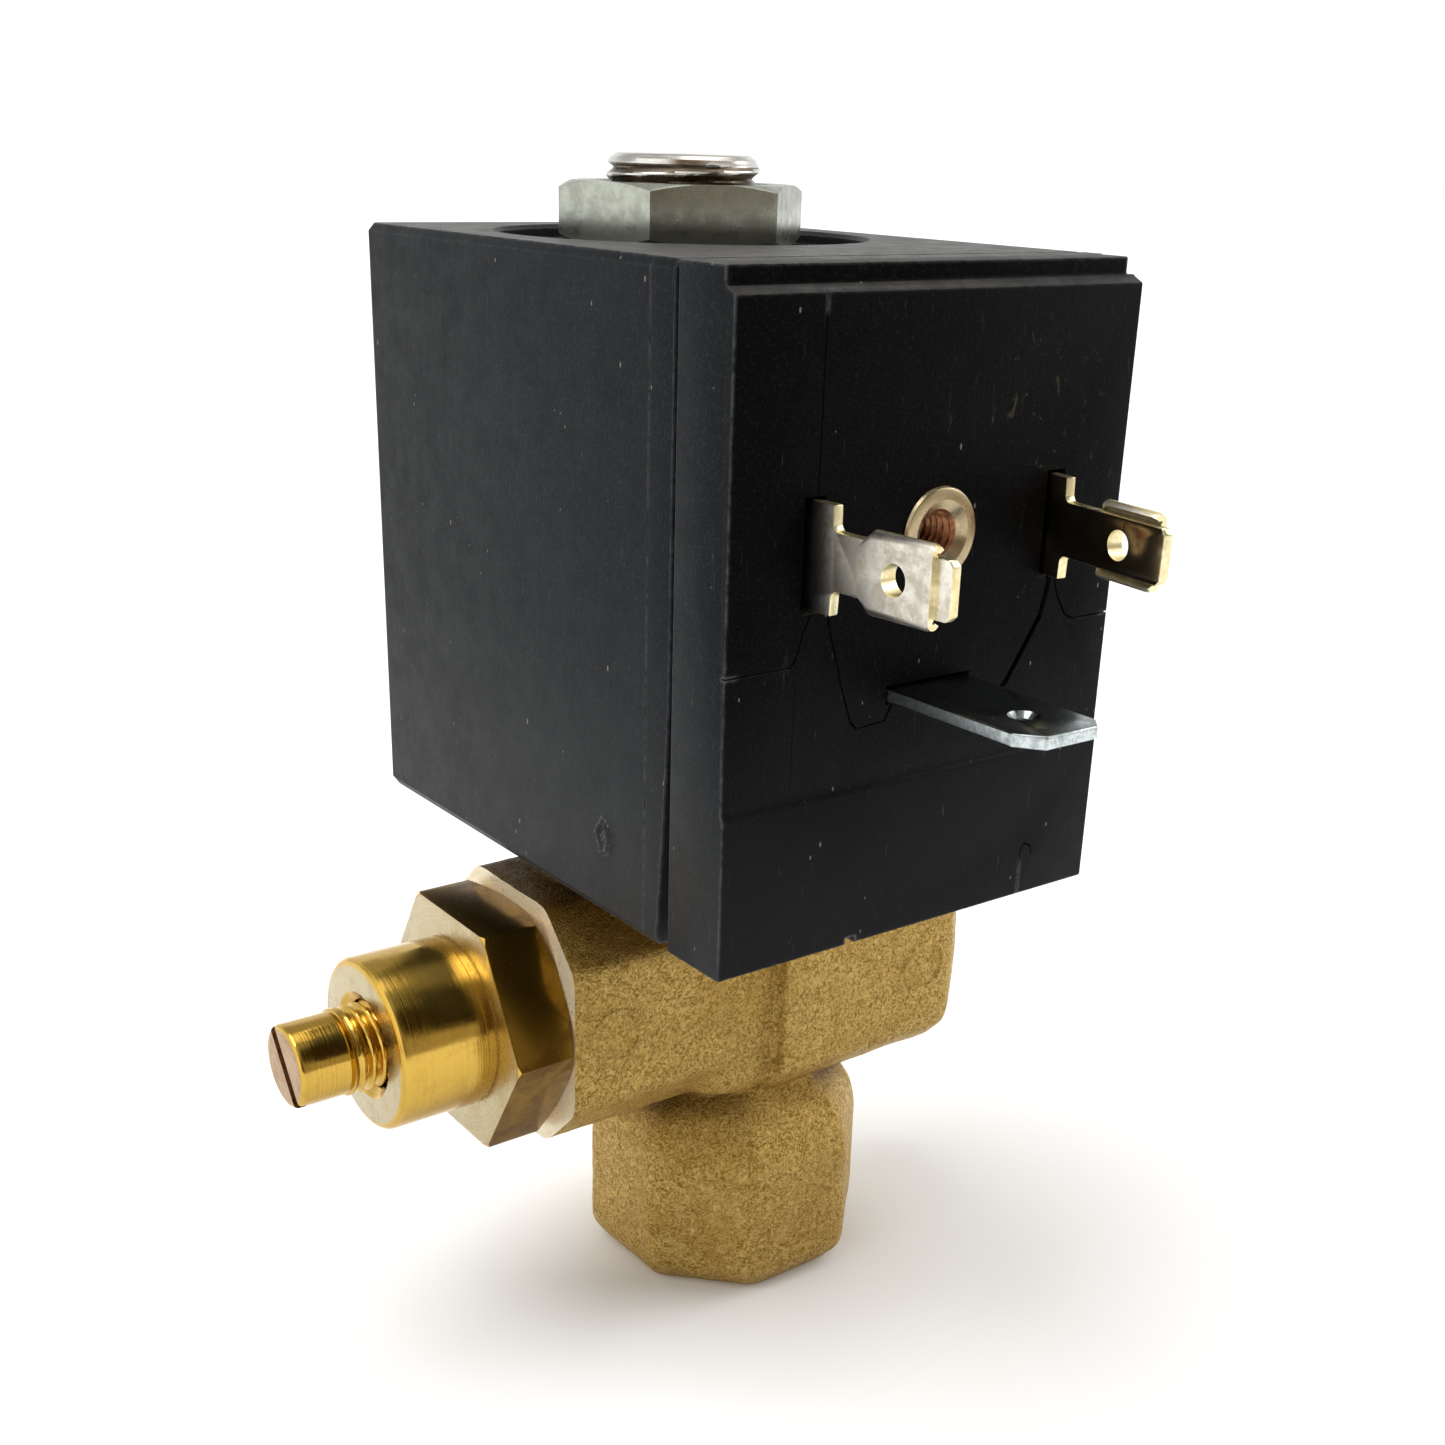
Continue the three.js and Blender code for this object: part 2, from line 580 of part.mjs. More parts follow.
function bobbin() {
  const { boreR, r, flangeR, flangeT, z, topZ } = BOBBIN;
  return turned([
    [boreR, z], [flangeR, z], [flangeR, z + flangeT], [r, z + flangeT], [r, topZ - flangeT],
    [flangeR, topZ - flangeT], [flangeR, topZ], [boreR, topZ], [boreR, z],
  ]);
}

function winding() {
  const { r, flangeT, z, topZ } = BOBBIN;
  return tube(r + GAP, WINDING_R, z + flangeT + GAP, topZ - flangeT - GAP);
}

function lead(side) {
  const x = side * LEAD.x;
  const end = COIL.front + CONTACT_ROOT.tail + GAP;
  const rise = side > 0 ? 4 : -4; // one lead leaves the winding above the contacts, the other below
  const path = new THREE.CatmullRomCurve3([
    new THREE.Vector3(x, LEAD.from, CONTACT.z + rise),
    new THREE.Vector3(x, -9.0, CONTACT.z + rise),
    new THREE.Vector3(x, -14.0, CONTACT.z),
    new THREE.Vector3(x, -18.0, CONTACT.z),
    new THREE.Vector3(x, end, CONTACT.z),
  ]);
  return wire(path, LEAD.r, 14, 4);
}

// ---- Coil fastening, in the valve's frame ----
function coilNut() {
  const { across, z, height, boreR, turn } = NUT;
  const cornerR = across / Math.sqrt(3);
  const flatR = across / 2;
  const drop = (cornerR - flatR + 0.1) / Math.sqrt(3);
  const body = solid(plate(hexagon(across, turn), z, z + height));
  const dome = turned([
    [0, z], [flatR - 0.1, z], [cornerR, z + drop], [cornerR, z + height - drop], [flatR - 0.1, z + height],
    [0, z + height],
  ]);
  const bevel = 0.6;
  const bore = turned([
    [0, z - PAST], [boreR, z - PAST], [boreR, z + height - bevel], [boreR + bevel, z + height],
    [boreR + bevel, z + height + PAST], [0, z + height + PAST],
  ]);
  return cut(body.intersect(dome), bore).translate([TUBE_X, 0, 0]);
}

function springWasher() {
  const { innerR, outerR, z, height, split } = WASHER;
  const along = [TUBE_X, TUBE_X + outerR + PAST];
  const gapCut = block(along, [-split / 2, split / 2], [z - PAST, z + height + PAST]);
  return cut(tube(innerR, outerR, z, z + height, onTube), gapCut);
}

// ---- The valve as a scene ----
const valve = new THREE.Group();
const M = MATERIALS;
const seal = rod(SEAL.r, SEAL.z, SEAL.topZ, { ...onTube, sides: SMALL_SEGMENTS });
const gasket = tube(GASKET.innerR, GASKET.outerR, GASKET.z, GASKET.z + GASKET.height, onTube);
const tubeRing = ring(TUBE_RING.r, TUBE_RING.wireR, { ...onTube, z: TUBE_RING.z });
const bonnetRing = ring(BONNET_RING.r, BONNET_RING.wireR, { ...onAxis, x: BONNET_RING.x });
const needleRing = ring(NEEDLE_RING.r, NEEDLE_RING.wireR, { ...onAxis, x: NEEDLE_RING.x });

addPiece(valve, "valve_body", valveBody(), M.forgedBrass);
addPiece(valve, "armature_tube", armatureTube(), M.stainless);
addPiece(valve, "tube_nut", tubeNut(), M.zinc);
addPiece(valve, "tube_o_ring", tubeRing, M.rubber);
addPiece(valve, "fixed_core", fixedCore(), M.stainless);
addPiece(valve, "shading_ring", shadingRing(), M.copper);
addPiece(valve, "plunger", plunger(), M.stainless);
addPiece(valve, "plunger_seal", seal, M.rubber);
addPiece(valve, "plunger_spring", plungerSpring(), M.stainless);
addPiece(valve, "regulator_bonnet", regulatorBonnet(), M.turnedBrass);
addPiece(valve, "bonnet_o_ring", bonnetRing, M.rubber);
addPiece(valve, "needle_screw", needleScrew(), M.turnedBrass);
addPiece(valve, "needle_o_ring", needleRing, M.rubber);
addPiece(valve, "coil_nut", coilNut(), M.zinc);
addPiece(valve, "spring_washer", springWasher(), M.steel);
addPiece(valve, "coil_gasket", gasket, M.rubber);

const coil = new THREE.Group();
coil.position.set(TUBE_X, 0, COIL_Z);
valve.add(coil);
addPiece(coil, "coil_housing", coilHousing(), M.moulding);
addPiece(coil, "connector_block", connectorBlock(), M.moulding);
addPiece(coil, "power_tab_left", powerTab(-1), M.tinned);
addPiece(coil, "power_tab_right", powerTab(1), M.tinned);
addPiece(coil, "earth_tab", earthTab(), M.zinc);
addPiece(coil, "screw_insert", screwInsert(), M.turnedBrass);
addPiece(coil, "yoke_frame", yokeFrame(), M.steel);
addPiece(coil, "yoke_strap", yokeStrap(), M.steel);
addPiece(coil, "bobbin", bobbin(), M.nylon);
addPiece(coil, "winding", winding(), M.copper);
addPiece(coil, "start_lead", lead(1), M.copper);
addPiece(coil, "finish_lead", lead(-1), M.copper);

export default valve;
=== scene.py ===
"""The looks of a solenoid valve with a flow regulator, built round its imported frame.

Pieces are made in millimetres in the row frame and turned into metres by finish_piece().
"""
import math

import bmesh
import bpy
from mathutils import Matrix, Vector, noise


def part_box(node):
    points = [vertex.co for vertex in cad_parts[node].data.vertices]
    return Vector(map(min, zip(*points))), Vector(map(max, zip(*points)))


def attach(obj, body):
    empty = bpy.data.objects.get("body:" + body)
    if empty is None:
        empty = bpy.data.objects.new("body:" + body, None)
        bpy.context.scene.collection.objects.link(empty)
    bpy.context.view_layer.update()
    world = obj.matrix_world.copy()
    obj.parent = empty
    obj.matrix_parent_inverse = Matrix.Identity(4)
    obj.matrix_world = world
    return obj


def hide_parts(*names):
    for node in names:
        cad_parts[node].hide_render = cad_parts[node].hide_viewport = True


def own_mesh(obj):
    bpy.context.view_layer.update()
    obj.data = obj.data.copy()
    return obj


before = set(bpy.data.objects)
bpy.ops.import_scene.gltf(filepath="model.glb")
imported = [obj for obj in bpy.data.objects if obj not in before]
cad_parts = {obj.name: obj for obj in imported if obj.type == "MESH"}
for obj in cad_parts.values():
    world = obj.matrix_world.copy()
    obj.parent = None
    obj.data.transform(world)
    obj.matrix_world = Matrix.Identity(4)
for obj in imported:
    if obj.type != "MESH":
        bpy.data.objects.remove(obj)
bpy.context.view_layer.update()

MM = 0.001


def mm_box(node):
    low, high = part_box(node)
    return low / MM, high / MM


# ---- Places taken from the frame, in millimetres ----
nut_low, nut_high = mm_box("coil_nut")
needle_low, needle_high = mm_box("needle_screw")
bonnet_low, bonnet_high = mm_box("regulator_bonnet")
body_low, body_high = mm_box("valve_body")
housing_low, housing_high = mm_box("coil_housing")
block_low, block_high = mm_box("connector_block")
core_low, core_high = mm_box("fixed_core")
insert_low, insert_high = mm_box("screw_insert")
earth_low, earth_high = mm_box("earth_tab")
left_low, left_high = mm_box("power_tab_left")
spring_low, spring_high = mm_box("plunger_spring")

TUBE_X = (core_low.x + core_high.x) / 2
AXIS_Z = (needle_low.z + needle_high.z) / 2
COIL_Z, COIL_TOP = housing_low.z, housing_high.z
COIL_LEFT, COIL_RIGHT = housing_low.x, housing_high.x
COIL_BACK = housing_high.y
FRONT_Y = block_low.y + 0.15  # the face above the proud lower part
SEAM_Y = (block_high.y + housing_low.y) / 2
CONTACT_Z = (left_low.z + left_high.z) / 2

# Lines to turn shapes round: the axis and a point.
X, Y, Z = 0, 1, 2
PORT_LINE = (Z, (0, 0, 0))
TUBE_LINE = (Z, (TUBE_X, 0, 0))
REGULATOR_LINE = (X, (0, 0, AXIS_Z))
INSERT_LINE = (Y, (TUBE_X, 0, (insert_low.z + insert_high.z) / 2))


# ---- Camera ----
CAMERA_PLACE = Vector((-75.9, -98.9, 82.1))  # mm
AZIMUTH, ELEVATION, ROLL = (math.radians(angle) for angle in (-37.14, 22.25, 1.71))
LENS, SHIFT_Y = 44.2, 0.10


def add_camera():
    ahead = math.cos(ELEVATION)
    forward = Vector((
        -math.sin(AZIMUTH) * ahead, math.cos(AZIMUTH) * ahead, -math.sin(ELEVATION)
    ))
    level = Vector((math.cos(AZIMUTH), math.sin(AZIMUTH), 0))
    upright = level.cross(forward)
    right = level * math.cos(ROLL) + upright * math.sin(ROLL)
    up = upright * math.cos(ROLL) - level * math.sin(ROLL)
    data = bpy.data.cameras.new("camera")
    data.lens = LENS
    data.shift_y = SHIFT_Y
    data.clip_start = 0.01
    data.clip_end = 20
    camera = bpy.data.objects.new("camera", data)
    facing = Matrix((right, up, -forward)).transposed().to_4x4()
    camera.matrix_world = Matrix.Translation(CAMERA_PLACE * MM) @ facing
    bpy.context.scene.collection.objects.link(camera)
    bpy.context.scene.camera = camera


add_camera()


# ---- Materials ----
class Nodes:
    """Adds nodes to a tree, from left to right."""

    def __init__(self, tree):
        self.tree = tree
        tree.nodes.clear()

    def node(self, kind, inputs=(), **settings):
        made = self.tree.nodes.new(kind)
        for key, value in settings.items():
            setattr(made, key, value)
        for key, value in dict(inputs).items():
            if isinstance(value, bpy.types.NodeSocket):
                self.tree.links.new(value, made.inputs[key])
            else:
                made.inputs[key].default_value = value
        return made

    def math(self, operation, a, b=0.0):
        return self.node("ShaderNodeMath", {0: a, 1: b}, operation=operation).outputs[0]

    def times(self, a, b):
        return self.math("MULTIPLY", a, b)

    def blend(self, a, b, share):
        """This share of a, and the rest of b."""
        return self.math("ADD", self.times(a, share), self.times(b, 1 - share))

    def split(self, vector):
        return self.node("ShaderNodeSeparateXYZ", {0: vector}).outputs

    def length(self, vector):
        return self.node("ShaderNodeVectorMath", {0: vector}, operation="LENGTH").outputs["Value"]

    def dot(self, a, b):
        made = self.node("ShaderNodeVectorMath", {0: a, 1: b}, operation="DOT_PRODUCT")
        return made.outputs["Value"]

    def band(self, value, low, high, to_low=0.0, to_high=1.0):
        """value from low to high, made to run from to_low to to_high, and held beyond them."""
        ends = {"From Min": low, "From Max": high, "To Min": to_low, "To Max": to_high}
        made = self.node(
            "ShaderNodeMapRange", {"Value": value, **ends}, interpolation_type="SMOOTHSTEP"
        )
        return made.outputs[0]

    def mix(self, factor, a, b):
        colours = {
            index: value if isinstance(value, bpy.types.NodeSocket) else (*value, 1)
            for index, value in ((6, a), (7, b))
        }
        return self.node("ShaderNodeMix", {0: factor, **colours}, data_type="RGBA").outputs[2]


class Shader(Nodes):
    """A material that ends in one Principled shader. Its patterns are sized in millimetres."""

    def __init__(self, name, metallic=0.0, **values):
        self.material = bpy.data.materials.new(name)
        self.material.use_nodes = True
        super().__init__(self.material.node_tree)
        values = {key.replace("_", " "): value for key, value in values.items()}
        self.surface = self.node("ShaderNodeBsdfPrincipled", {"Metallic": metallic, **values})
        self.node("ShaderNodeOutputMaterial", {0: self.surface.outputs[0]})
        self.place = self.node("ShaderNodeTexCoord").outputs["Object"]

    def millimetres(self, stretch=(1, 1, 1), centre=(0, 0, 0)):
        """The place on the object, in millimetres from centre, times stretch."""
        place = self.place
        steps = {"SUBTRACT": [c * MM for c in centre], "MULTIPLY": [s / MM for s in stretch]}
        for operation, by in steps.items():
            made = self.node("ShaderNodeVectorMath", {0: place, 1: by}, operation=operation)
            place = made.outputs[0]
        return place

    def noise(self, per_mm, detail=2.0, rough=0.5, stretch=(1, 1, 1), distortion=0.0):
        values = {"Scale": per_mm, "Detail": detail, "Roughness": rough, "Distortion": distortion}
        made = self.node("ShaderNodeTexNoise", {"Vector": self.millimetres(stretch), **values})
        return made.outputs["Fac"]

    def stripes(self, value, per_mm):
        """Uneven lines where value, a distance in millimetres, is the same."""
        made = self.node(
            "ShaderNodeTexNoise",
            {"W": value, "Scale": per_mm, "Detail": 3.0, "Roughness": 0.6},
            noise_dimensions="1D",
        )
        return made.outputs["Fac"]

    def geometry(self, output):
        return self.node("ShaderNodeNewGeometry").outputs[output]

    def shelter(self, reach_mm, **settings):
        """1 in the open, less where something stands within reach_mm."""
        made = self.node(
            "ShaderNodeAmbientOcclusion", {"Distance": reach_mm * MM}, samples=8, **settings
        )
        return made.outputs["AO"]

    def edge(self, width_mm):
        """1 on outside and inside edges, 0 on faces further than width_mm from one."""
        rounded = self.node("ShaderNodeBevel", {"Radius": width_mm * MM}, samples=6).outputs[0]
        same = self.dot(rounded, self.geometry("Normal"))
        return self.band(self.math("SUBTRACT", 1.0, same), 0.02, 0.25)

    def bump(self, height, depth_mm, strength=1.0, under=None):
        inputs = {"Height": height, "Distance": depth_mm * MM, "Strength": strength}
        if under is not None:
            inputs["Normal"] = under
        return self.node("ShaderNodeBump", inputs).outputs[0]

    def finish(self, colour, roughness, normal=None):
        for key, value in (("Base Color", colour), ("Roughness", roughness), ("Normal", normal)):
            if isinstance(value, bpy.types.NodeSocket):
                self.tree.links.new(value, self.surface.inputs[key])
            elif value is not None:
                self.surface.inputs[key].default_value = value
        return self.material


def moulding(name, dark, light, gloss, foot_colour, smudged=False):
    """Black moulded plastic: cloudy, finely grained and scuffed, paler towards its foot, with a
    painted sheen on faces that look up and painted highlights along some edges.
    """
    s = Shader(name, Specular_IOR_Level=gloss)
    clouds = s.noise(0.07, 4, 0.6)
    mottle = s.noise(0.9, 3, 0.65)
    colour = s.mix(s.band(s.blend(clouds, mottle, 0.65), 0.30, 0.70), dark, light)
    middle = (TUBE_X, 0, (COIL_Z + COIL_TOP) / 2)
    away = s.split(s.millimetres(centre=middle))
    # paler towards the foot
    foot = s.times(s.band(away[Z], -17, 1, 1, 0), s.band(clouds, 0.3, 0.6, 0.75, 1.0))
    colour = s.mix(foot, colour, foot_colour)
    # painted sheen: faces that look up are made lighter, for the glare they catch
    upward = s.split(s.geometry("Normal"))[Z]
    upward_sheen = s.times(s.band(upward, 0.6, 0.95, 0, 0.8), s.band(mottle, 0.3, 0.7, 0.6, 1.0))
    colour = s.mix(upward_sheen, colour, (0.100, 0.098, 0.094))
    scuffs = s.noise(1.0, 5, 0.75, stretch=(2.2, 2.2, 0.35), distortion=0.6)
    colour = s.mix(s.band(scuffs, 0.62, 0.78, 0, 0.30), colour, (0.16, 0.155, 0.145))
    where = {"Vector": s.millimetres((1, 1, 0.45)), "Scale": 1.25, "Randomness": 1.0}
    dust = s.node("ShaderNodeTexVoronoi", where).outputs["Distance"]
    flecks = s.math("LESS_THAN", dust, s.band(s.noise(0.45, 1), 0.46, 0.70, 0.0, 0.10))
    colour = s.mix(s.times(flecks, 0.30), colour, (0.42, 0.41, 0.38))
    if smudged:
        near = s.length(s.millimetres((0.16, 0.16, 0.11), (2.5, FRONT_Y, 68.5)))
        spots = s.noise(0.85, 5, 0.7, stretch=(1, 1, 0.8), distortion=0.8)
        smudge = s.times(s.band(near, 0.35, 1.0, 1, 0), s.band(spots, 0.60, 0.70, 0, 0.30))
        colour = s.mix(smudge, colour, (0.15, 0.125, 0.075))
    grain = s.noise(5.5, 3, 0.7)
    colour = s.mix(s.band(grain, 0.50, 0.72, 0, 0.20), colour, tuple(3 * c for c in foot_colour))
    # Ends, top, bottom and step edges are made lighter: scuffed wear, and a painted highlight along
    # them.
    beside = s.band(s.math("ABSOLUTE", away[X]), 13.9, 14.4)
    over = s.band(s.math("ABSOLUTE", away[Z]), 16.8, 17.3)
    # the step's edge gets a painted highlight line
    step = s.band(s.math("ABSOLUTE", s.math("ADD", away[Z], 9.5)), 0.3, 0.8, 1, 0)
    outer = s.math("MAXIMUM", s.math("MAXIMUM", beside, over), s.times(step, 0.6))
    chafe = s.band(s.noise(1.6, 4, 0.7), 0.36, 0.62, 0.25, 1.0)
    worn_and_highlit_edges = s.times(s.times(s.edge(0.42), outer), chafe)
    colour = s.mix(worn_and_highlit_edges, colour, (0.15, 0.152, 0.156))
    rough = s.band(s.noise(0.5, 4, 0.7), 0.3, 0.7, 0.36, 0.47)
    normal = s.bump(s.noise(0.16), 0.2, 0.25)
    normal = s.bump(grain, 0.02, 0.55, normal)
    normal = s.bump(scuffs, 0.03, 0.3, normal)
    return s.finish(colour, rough, normal)


def forged_brass():
    """Hot-forged and blasted brass: a dense grain of pits, deeper coloured in the hollows, with
    painted shade in its creases and a painted shadow under the coil.
    """
    s = Shader("forged_brass", 1.0)
    grain = s.noise(2.3, 4, 0.62, distortion=1.8)
    pits = s.noise(6.5, 3, 0.6)
    patches = s.noise(0.22, 3, 0.6)
    height = s.blend(grain, pits, 0.65)
    colour = s.mix(s.band(height, 0.37, 0.61), (0.250, 0.143, 0.024), (0.60, 0.420, 0.135))
    colour = s.mix(s.band(patches, 0.42, 0.72, 0, 0.35), colour, (0.36, 0.205, 0.038))
    hollow = s.geometry("Pointiness")
    colour = s.mix(s.band(hollow, 0.485, 0.44, 0, 0.7), colour, (0.26, 0.13, 0.025))
    colour = s.mix(s.band(hollow, 0.53, 0.60, 0, 0.25), colour, (0.72, 0.52, 0.20))
    # painted shade: the brass darkens where its own parts close round it, with darker oxide in the
    # creases
    crease_shade_and_oxide = s.band(s.shelter(6, only_local=True), 0.25, 0.66, 0.95, 0)
    colour = s.mix(crease_shade_and_oxide, colour, (0.085, 0.038, 0.006))
    at = s.split(s.millimetres())
    # painted shadow: the boss is darkened brown where the coil overhangs it
    under_coil = s.times(s.band(at[X], -6, 0, 1, 0.1), s.band(at[Z], 15, 20))
    painted_coil_shadow = s.times(s.band(s.shelter(14), 0.50, 0.76, 0.88, 0), under_coil)
    colour = s.mix(painted_coil_shadow, colour, (0.11, 0.052, 0.008))
    rough = s.band(height, 0.35, 0.62, 0.62, 0.36)
    return s.finish(colour, rough, s.bump(height, 0.28))


def turned(name, light, dark, rough, line, tool_depth=0.011, stain=0.40, metallic=1.0):
    """Lathe-turned metal: fine rings round a line, stained a little in patches."""
    s = Shader(name, metallic)
    axis, centre = line
    along = [int(i == axis) for i in range(3)]
    radius = s.length(s.millimetres([1 - share for share in along], centre))
    length = s.split(s.millimetres(along, centre))[axis]
    rings = s.math("ADD", s.stripes(radius, 6.0), s.stripes(length, 7.0))
    stains = s.noise(0.55, 5, 0.7, distortion=0.5)
    drops = s.noise(2.4, 3, 0.6)
    wear = s.blend(stains, drops, 0.7)
    colour = s.mix(s.band(wear, 0.46, 0.70, 0, stain), light, dark)
    colour = s.mix(s.band(s.times(rings, 0.5), 0.48, 0.62, 0, 0.30), colour, dark)
    roughness = s.band(wear, 0.38, 0.68, rough, min(1.0, rough * 1.9))
    normal = s.bump(rings, tool_depth, 0.8)
    normal = s.bump(drops, 0.01, 0.25, normal)
    return s.finish(colour, roughness, normal)


def plated(name, light, dark, rough_low, rough_high, patch=0.5, depth=0.006, coil_side_darkening=0.0):
    """Plated or rolled metal with cloudy patches and fine scratches, darker towards the coil."""
    s = Shader(name, 1.0)
    patches = s.noise(patch, 5, 0.65, distortion=0.4)
    grain = s.noise(5.0, 3, 0.6)
    scratches = s.noise(1.2, 5, 0.8, stretch=(6, 0.6, 2.0))
    tone = s.blend(patches, scratches, 0.75)
    colour = s.mix(s.band(tone, 0.40, 0.62), light, dark)
    roughness = s.band(tone, 0.36, 0.66, rough_low, rough_high)
    # edges made lighter: rubbed edges, and a painted highlight along them
    colour = s.mix(s.times(s.edge(0.12), 0.5), colour, tuple(min(1.0, c * 1.25) for c in light))
    if coil_side_darkening:
        # darker towards the coil
        inward = s.math("ADD", s.split(s.millimetres())[Y], s.times(patches, 1.6))
        darker_by_coil = s.band(inward, FRONT_Y - 2.4, FRONT_Y + 0.7, 0, coil_side_darkening)
        colour = s.mix(darker_by_coil, colour, (0.035, 0.033, 0.028))
    normal = s.bump(grain, depth, 0.35)
    return s.finish(colour, roughness, normal)


def rubber(name):
    s = Shader(name, Specular_IOR_Level=0.35)
    bloom = s.noise(0.8, 4, 0.6)
    colour = s.mix(s.band(bloom, 0.4, 0.7), (0.012, 0.012, 0.013), (0.03, 0.03, 0.03))
    return s.finish(colour, s.band(bloom, 0.3, 0.7, 0.6, 0.8), s.bump(s.noise(6, 3), 0.02, 0.5))


def nylon(name):
    s = Shader(name, Specular_IOR_Level=0.4)
    cloud = s.noise(0.3, 3, 0.6)
    colour = s.mix(s.band(cloud, 0.35, 0.65), (0.60, 0.56, 0.45), (0.70, 0.67, 0.57))
    return s.finish(colour, s.band(cloud, 0.3, 0.7, 0.45, 0.6), s.bump(s.noise(4, 3), 0.02, 0.4))


def enamelled_copper(name):
    """Turns of fine enamelled wire, one above another."""
    s = Shader(name, 0.9)
    wire = 0.25
    turns = s.math("SINE", s.times(s.split(s.millimetres())[Z], 2 * math.pi / wire))
    colour = s.mix(s.band(turns, -1, 1), (0.20, 0.05, 0.012), (0.55, 0.19, 0.05))
    return s.finish(colour, s.band(s.noise(1.5, 3), 0.3, 0.7, 0.25, 0.4), s.bump(turns, 0.05, 0.7))


FORGED = forged_brass()
TURNED = turned("turned_brass", (0.60, 0.385, 0.075), (0.36, 0.18, 0.020), 0.11, REGULATOR_LINE)
MACHINED = turned("machined_brass", (0.52, 0.44, 0.275), (0.36, 0.26, 0.11), 0.20, REGULATOR_LINE)
# A paler, less metallic copy of the brass for the spot-faced ring: a painted sheen for the light
# its tool marks scatter.
SPOT_FACE_SHEEN = turned(
    "spot_faced_brass_painted_sheen", (0.86, 0.76, 0.56), (0.60, 0.48, 0.27), 0.25, REGULATOR_LINE, metallic=0.45
)
SLOTTED = turned("copper_brown_end", (0.44, 0.29, 0.16), (0.24, 0.11, 0.045), 0.22, REGULATOR_LINE)
INSERT = turned(
    "insert_brass", (0.46, 0.37, 0.23), (0.26, 0.18, 0.09), 0.24, INSERT_LINE, tool_depth=0.006
)
THREAD_DARK = turned(
    "insert_thread", (0.36, 0.16, 0.08), (0.10, 0.03, 0.012), 0.32, INSERT_LINE, stain=0.8
)
BORED = turned("bored_brass", (0.86, 0.64, 0.25), (0.60, 0.38, 0.10), 0.22, PORT_LINE)
STAINLESS = turned("stainless", (0.66, 0.65, 0.63), (0.40, 0.38, 0.35), 0.17, TUBE_LINE)
# Dark stainless for the stud's thread grooves: painted shade.
SHADED_THREAD_ROOT = turned("thread_root_painted_shade", (0.15, 0.12, 0.09), (0.05, 0.038, 0.028), 0.24, TUBE_LINE)
DRAWN = plated("drawn_brass_bar", (0.25, 0.14, 0.019), (0.13, 0.065, 0.008), 0.19, 0.30, 0.35)
# A darker copy of the tinned face for the contacts' inner sides: a painted reflection of the dark
# block beside them.
TIN_FACE_PAINTED_REFLECTION = plated("tinned_face_painted_reflection", (0.56, 0.46, 0.30), (0.24, 0.165, 0.085), 0.16, 0.24, 0.6)
ZINC = plated("zinc_plate", (0.40, 0.425, 0.375), (0.32, 0.335, 0.285), 0.26, 0.38, 1.1, 0.010)
EARTH_ZINC = plated("earth_zinc", (0.34, 0.38, 0.39), (0.15, 0.18, 0.185), 0.16, 0.28)
TINNED = plated(
    "tinned_face", (0.74, 0.71, 0.64), (0.50, 0.45, 0.37), 0.30, 0.44, 0.8, coil_side_darkening=0.93
)
CUT_EDGE = plated("cut_brass_edge", (0.88, 0.80, 0.52), (0.74, 0.62, 0.33), 0.25, 0.4, 1.2)
BRIGHT_EDGE = plated("sheared_edge", (0.66, 0.72, 0.73), (0.34, 0.39, 0.40), 0.30, 0.4, 1.5)
IRON = plated("soft_iron", (0.16, 0.16, 0.16), (0.08, 0.075, 0.07), 0.4, 0.65, 0.4)
HOUSING = moulding(
    "black_moulding",
    (0.0042, 0.0056, 0.0072), (0.0070, 0.0089, 0.0108), 0.06, (0.021, 0.0225, 0.0245),
)
# A darker copy of the black moulding for the front block: painted shade on its front and top; its
# end faces keep the housing's moulding.
SHADED_FRONT_MOULDING = moulding(
    "black_moulding_front_painted_shade",
    (0.0008, 0.0009, 0.0011), (0.0024, 0.0025, 0.0029), 0.03, (0.012, 0.012, 0.013), True,
)
RUBBER = rubber("rubber")
NYLON = nylon("nylon")
COPPER = enamelled_copper("enamelled_copper")


# ---- Mesh code, in millimetres ----
def place_object(name, mesh):
    made = bpy.data.objects.new(name, mesh)
    bpy.context.scene.collection.objects.link(made)
    return made


def solid_from(name, points, faces, material=None):
    """A closed mesh with its faces turned outwards."""
    mesh = bpy.data.meshes.new(name)
    mesh.from_pydata([tuple(p) for p in points], [], faces)
    made = bmesh.new()
    made.from_mesh(mesh)
    bmesh.ops.recalc_face_normals(made, faces=made.faces)
    made.to_mesh(mesh)
    made.free()
    if material:
        mesh.materials.append(material)
    return place_object(name, mesh)


def round_line(line):
    """Turns (radius, angle, along) into a point, round a line given as its axis and a point."""
    axis, centre = line
    other = [i for i in range(3) if i != axis]

    def point(radius, angle, along):
        made = Vector(centre)
        made[axis] = along
        made[other[0]] += radius * math.cos(angle)
        made[other[1]] += radius * math.sin(angle)
        return made

    return point


def revolve(name, profile, line, material=None, sides=96, thread=None):
    """A turned solid. profile is [(radius, along)], from line to line or closed on itself."""
    point = round_line(line)
    closed = profile[0] == profile[-1]
    rows = profile[:-1] if closed else profile
    points, rings = [], []
    for radius, along in rows:
        if radius == 0:
            rings.append([len(points)])
            points.append(point(0, 0, along))
            continue
        ring = []
        for k in range(sides):
            angle = 2 * math.pi * k / sides
            ring.append(len(points))
            points.append(point(radius + (thread(along, angle) if thread else 0), angle, along))
        rings.append(ring)
    faces = []
    for a, b in zip(rings, rings[1:] + (rings[:1] if closed else [])):
        for k in range(sides):
            n = (k + 1) % sides
            if len(a) == 1:
                faces.append((a[0], b[n], b[k]))
            elif len(b) == 1:
                faces.append((a[k], a[n], b[0]))
            else:
                faces.append((a[k], a[n], b[n], b[k]))
    return solid_from(name, points, faces, material)


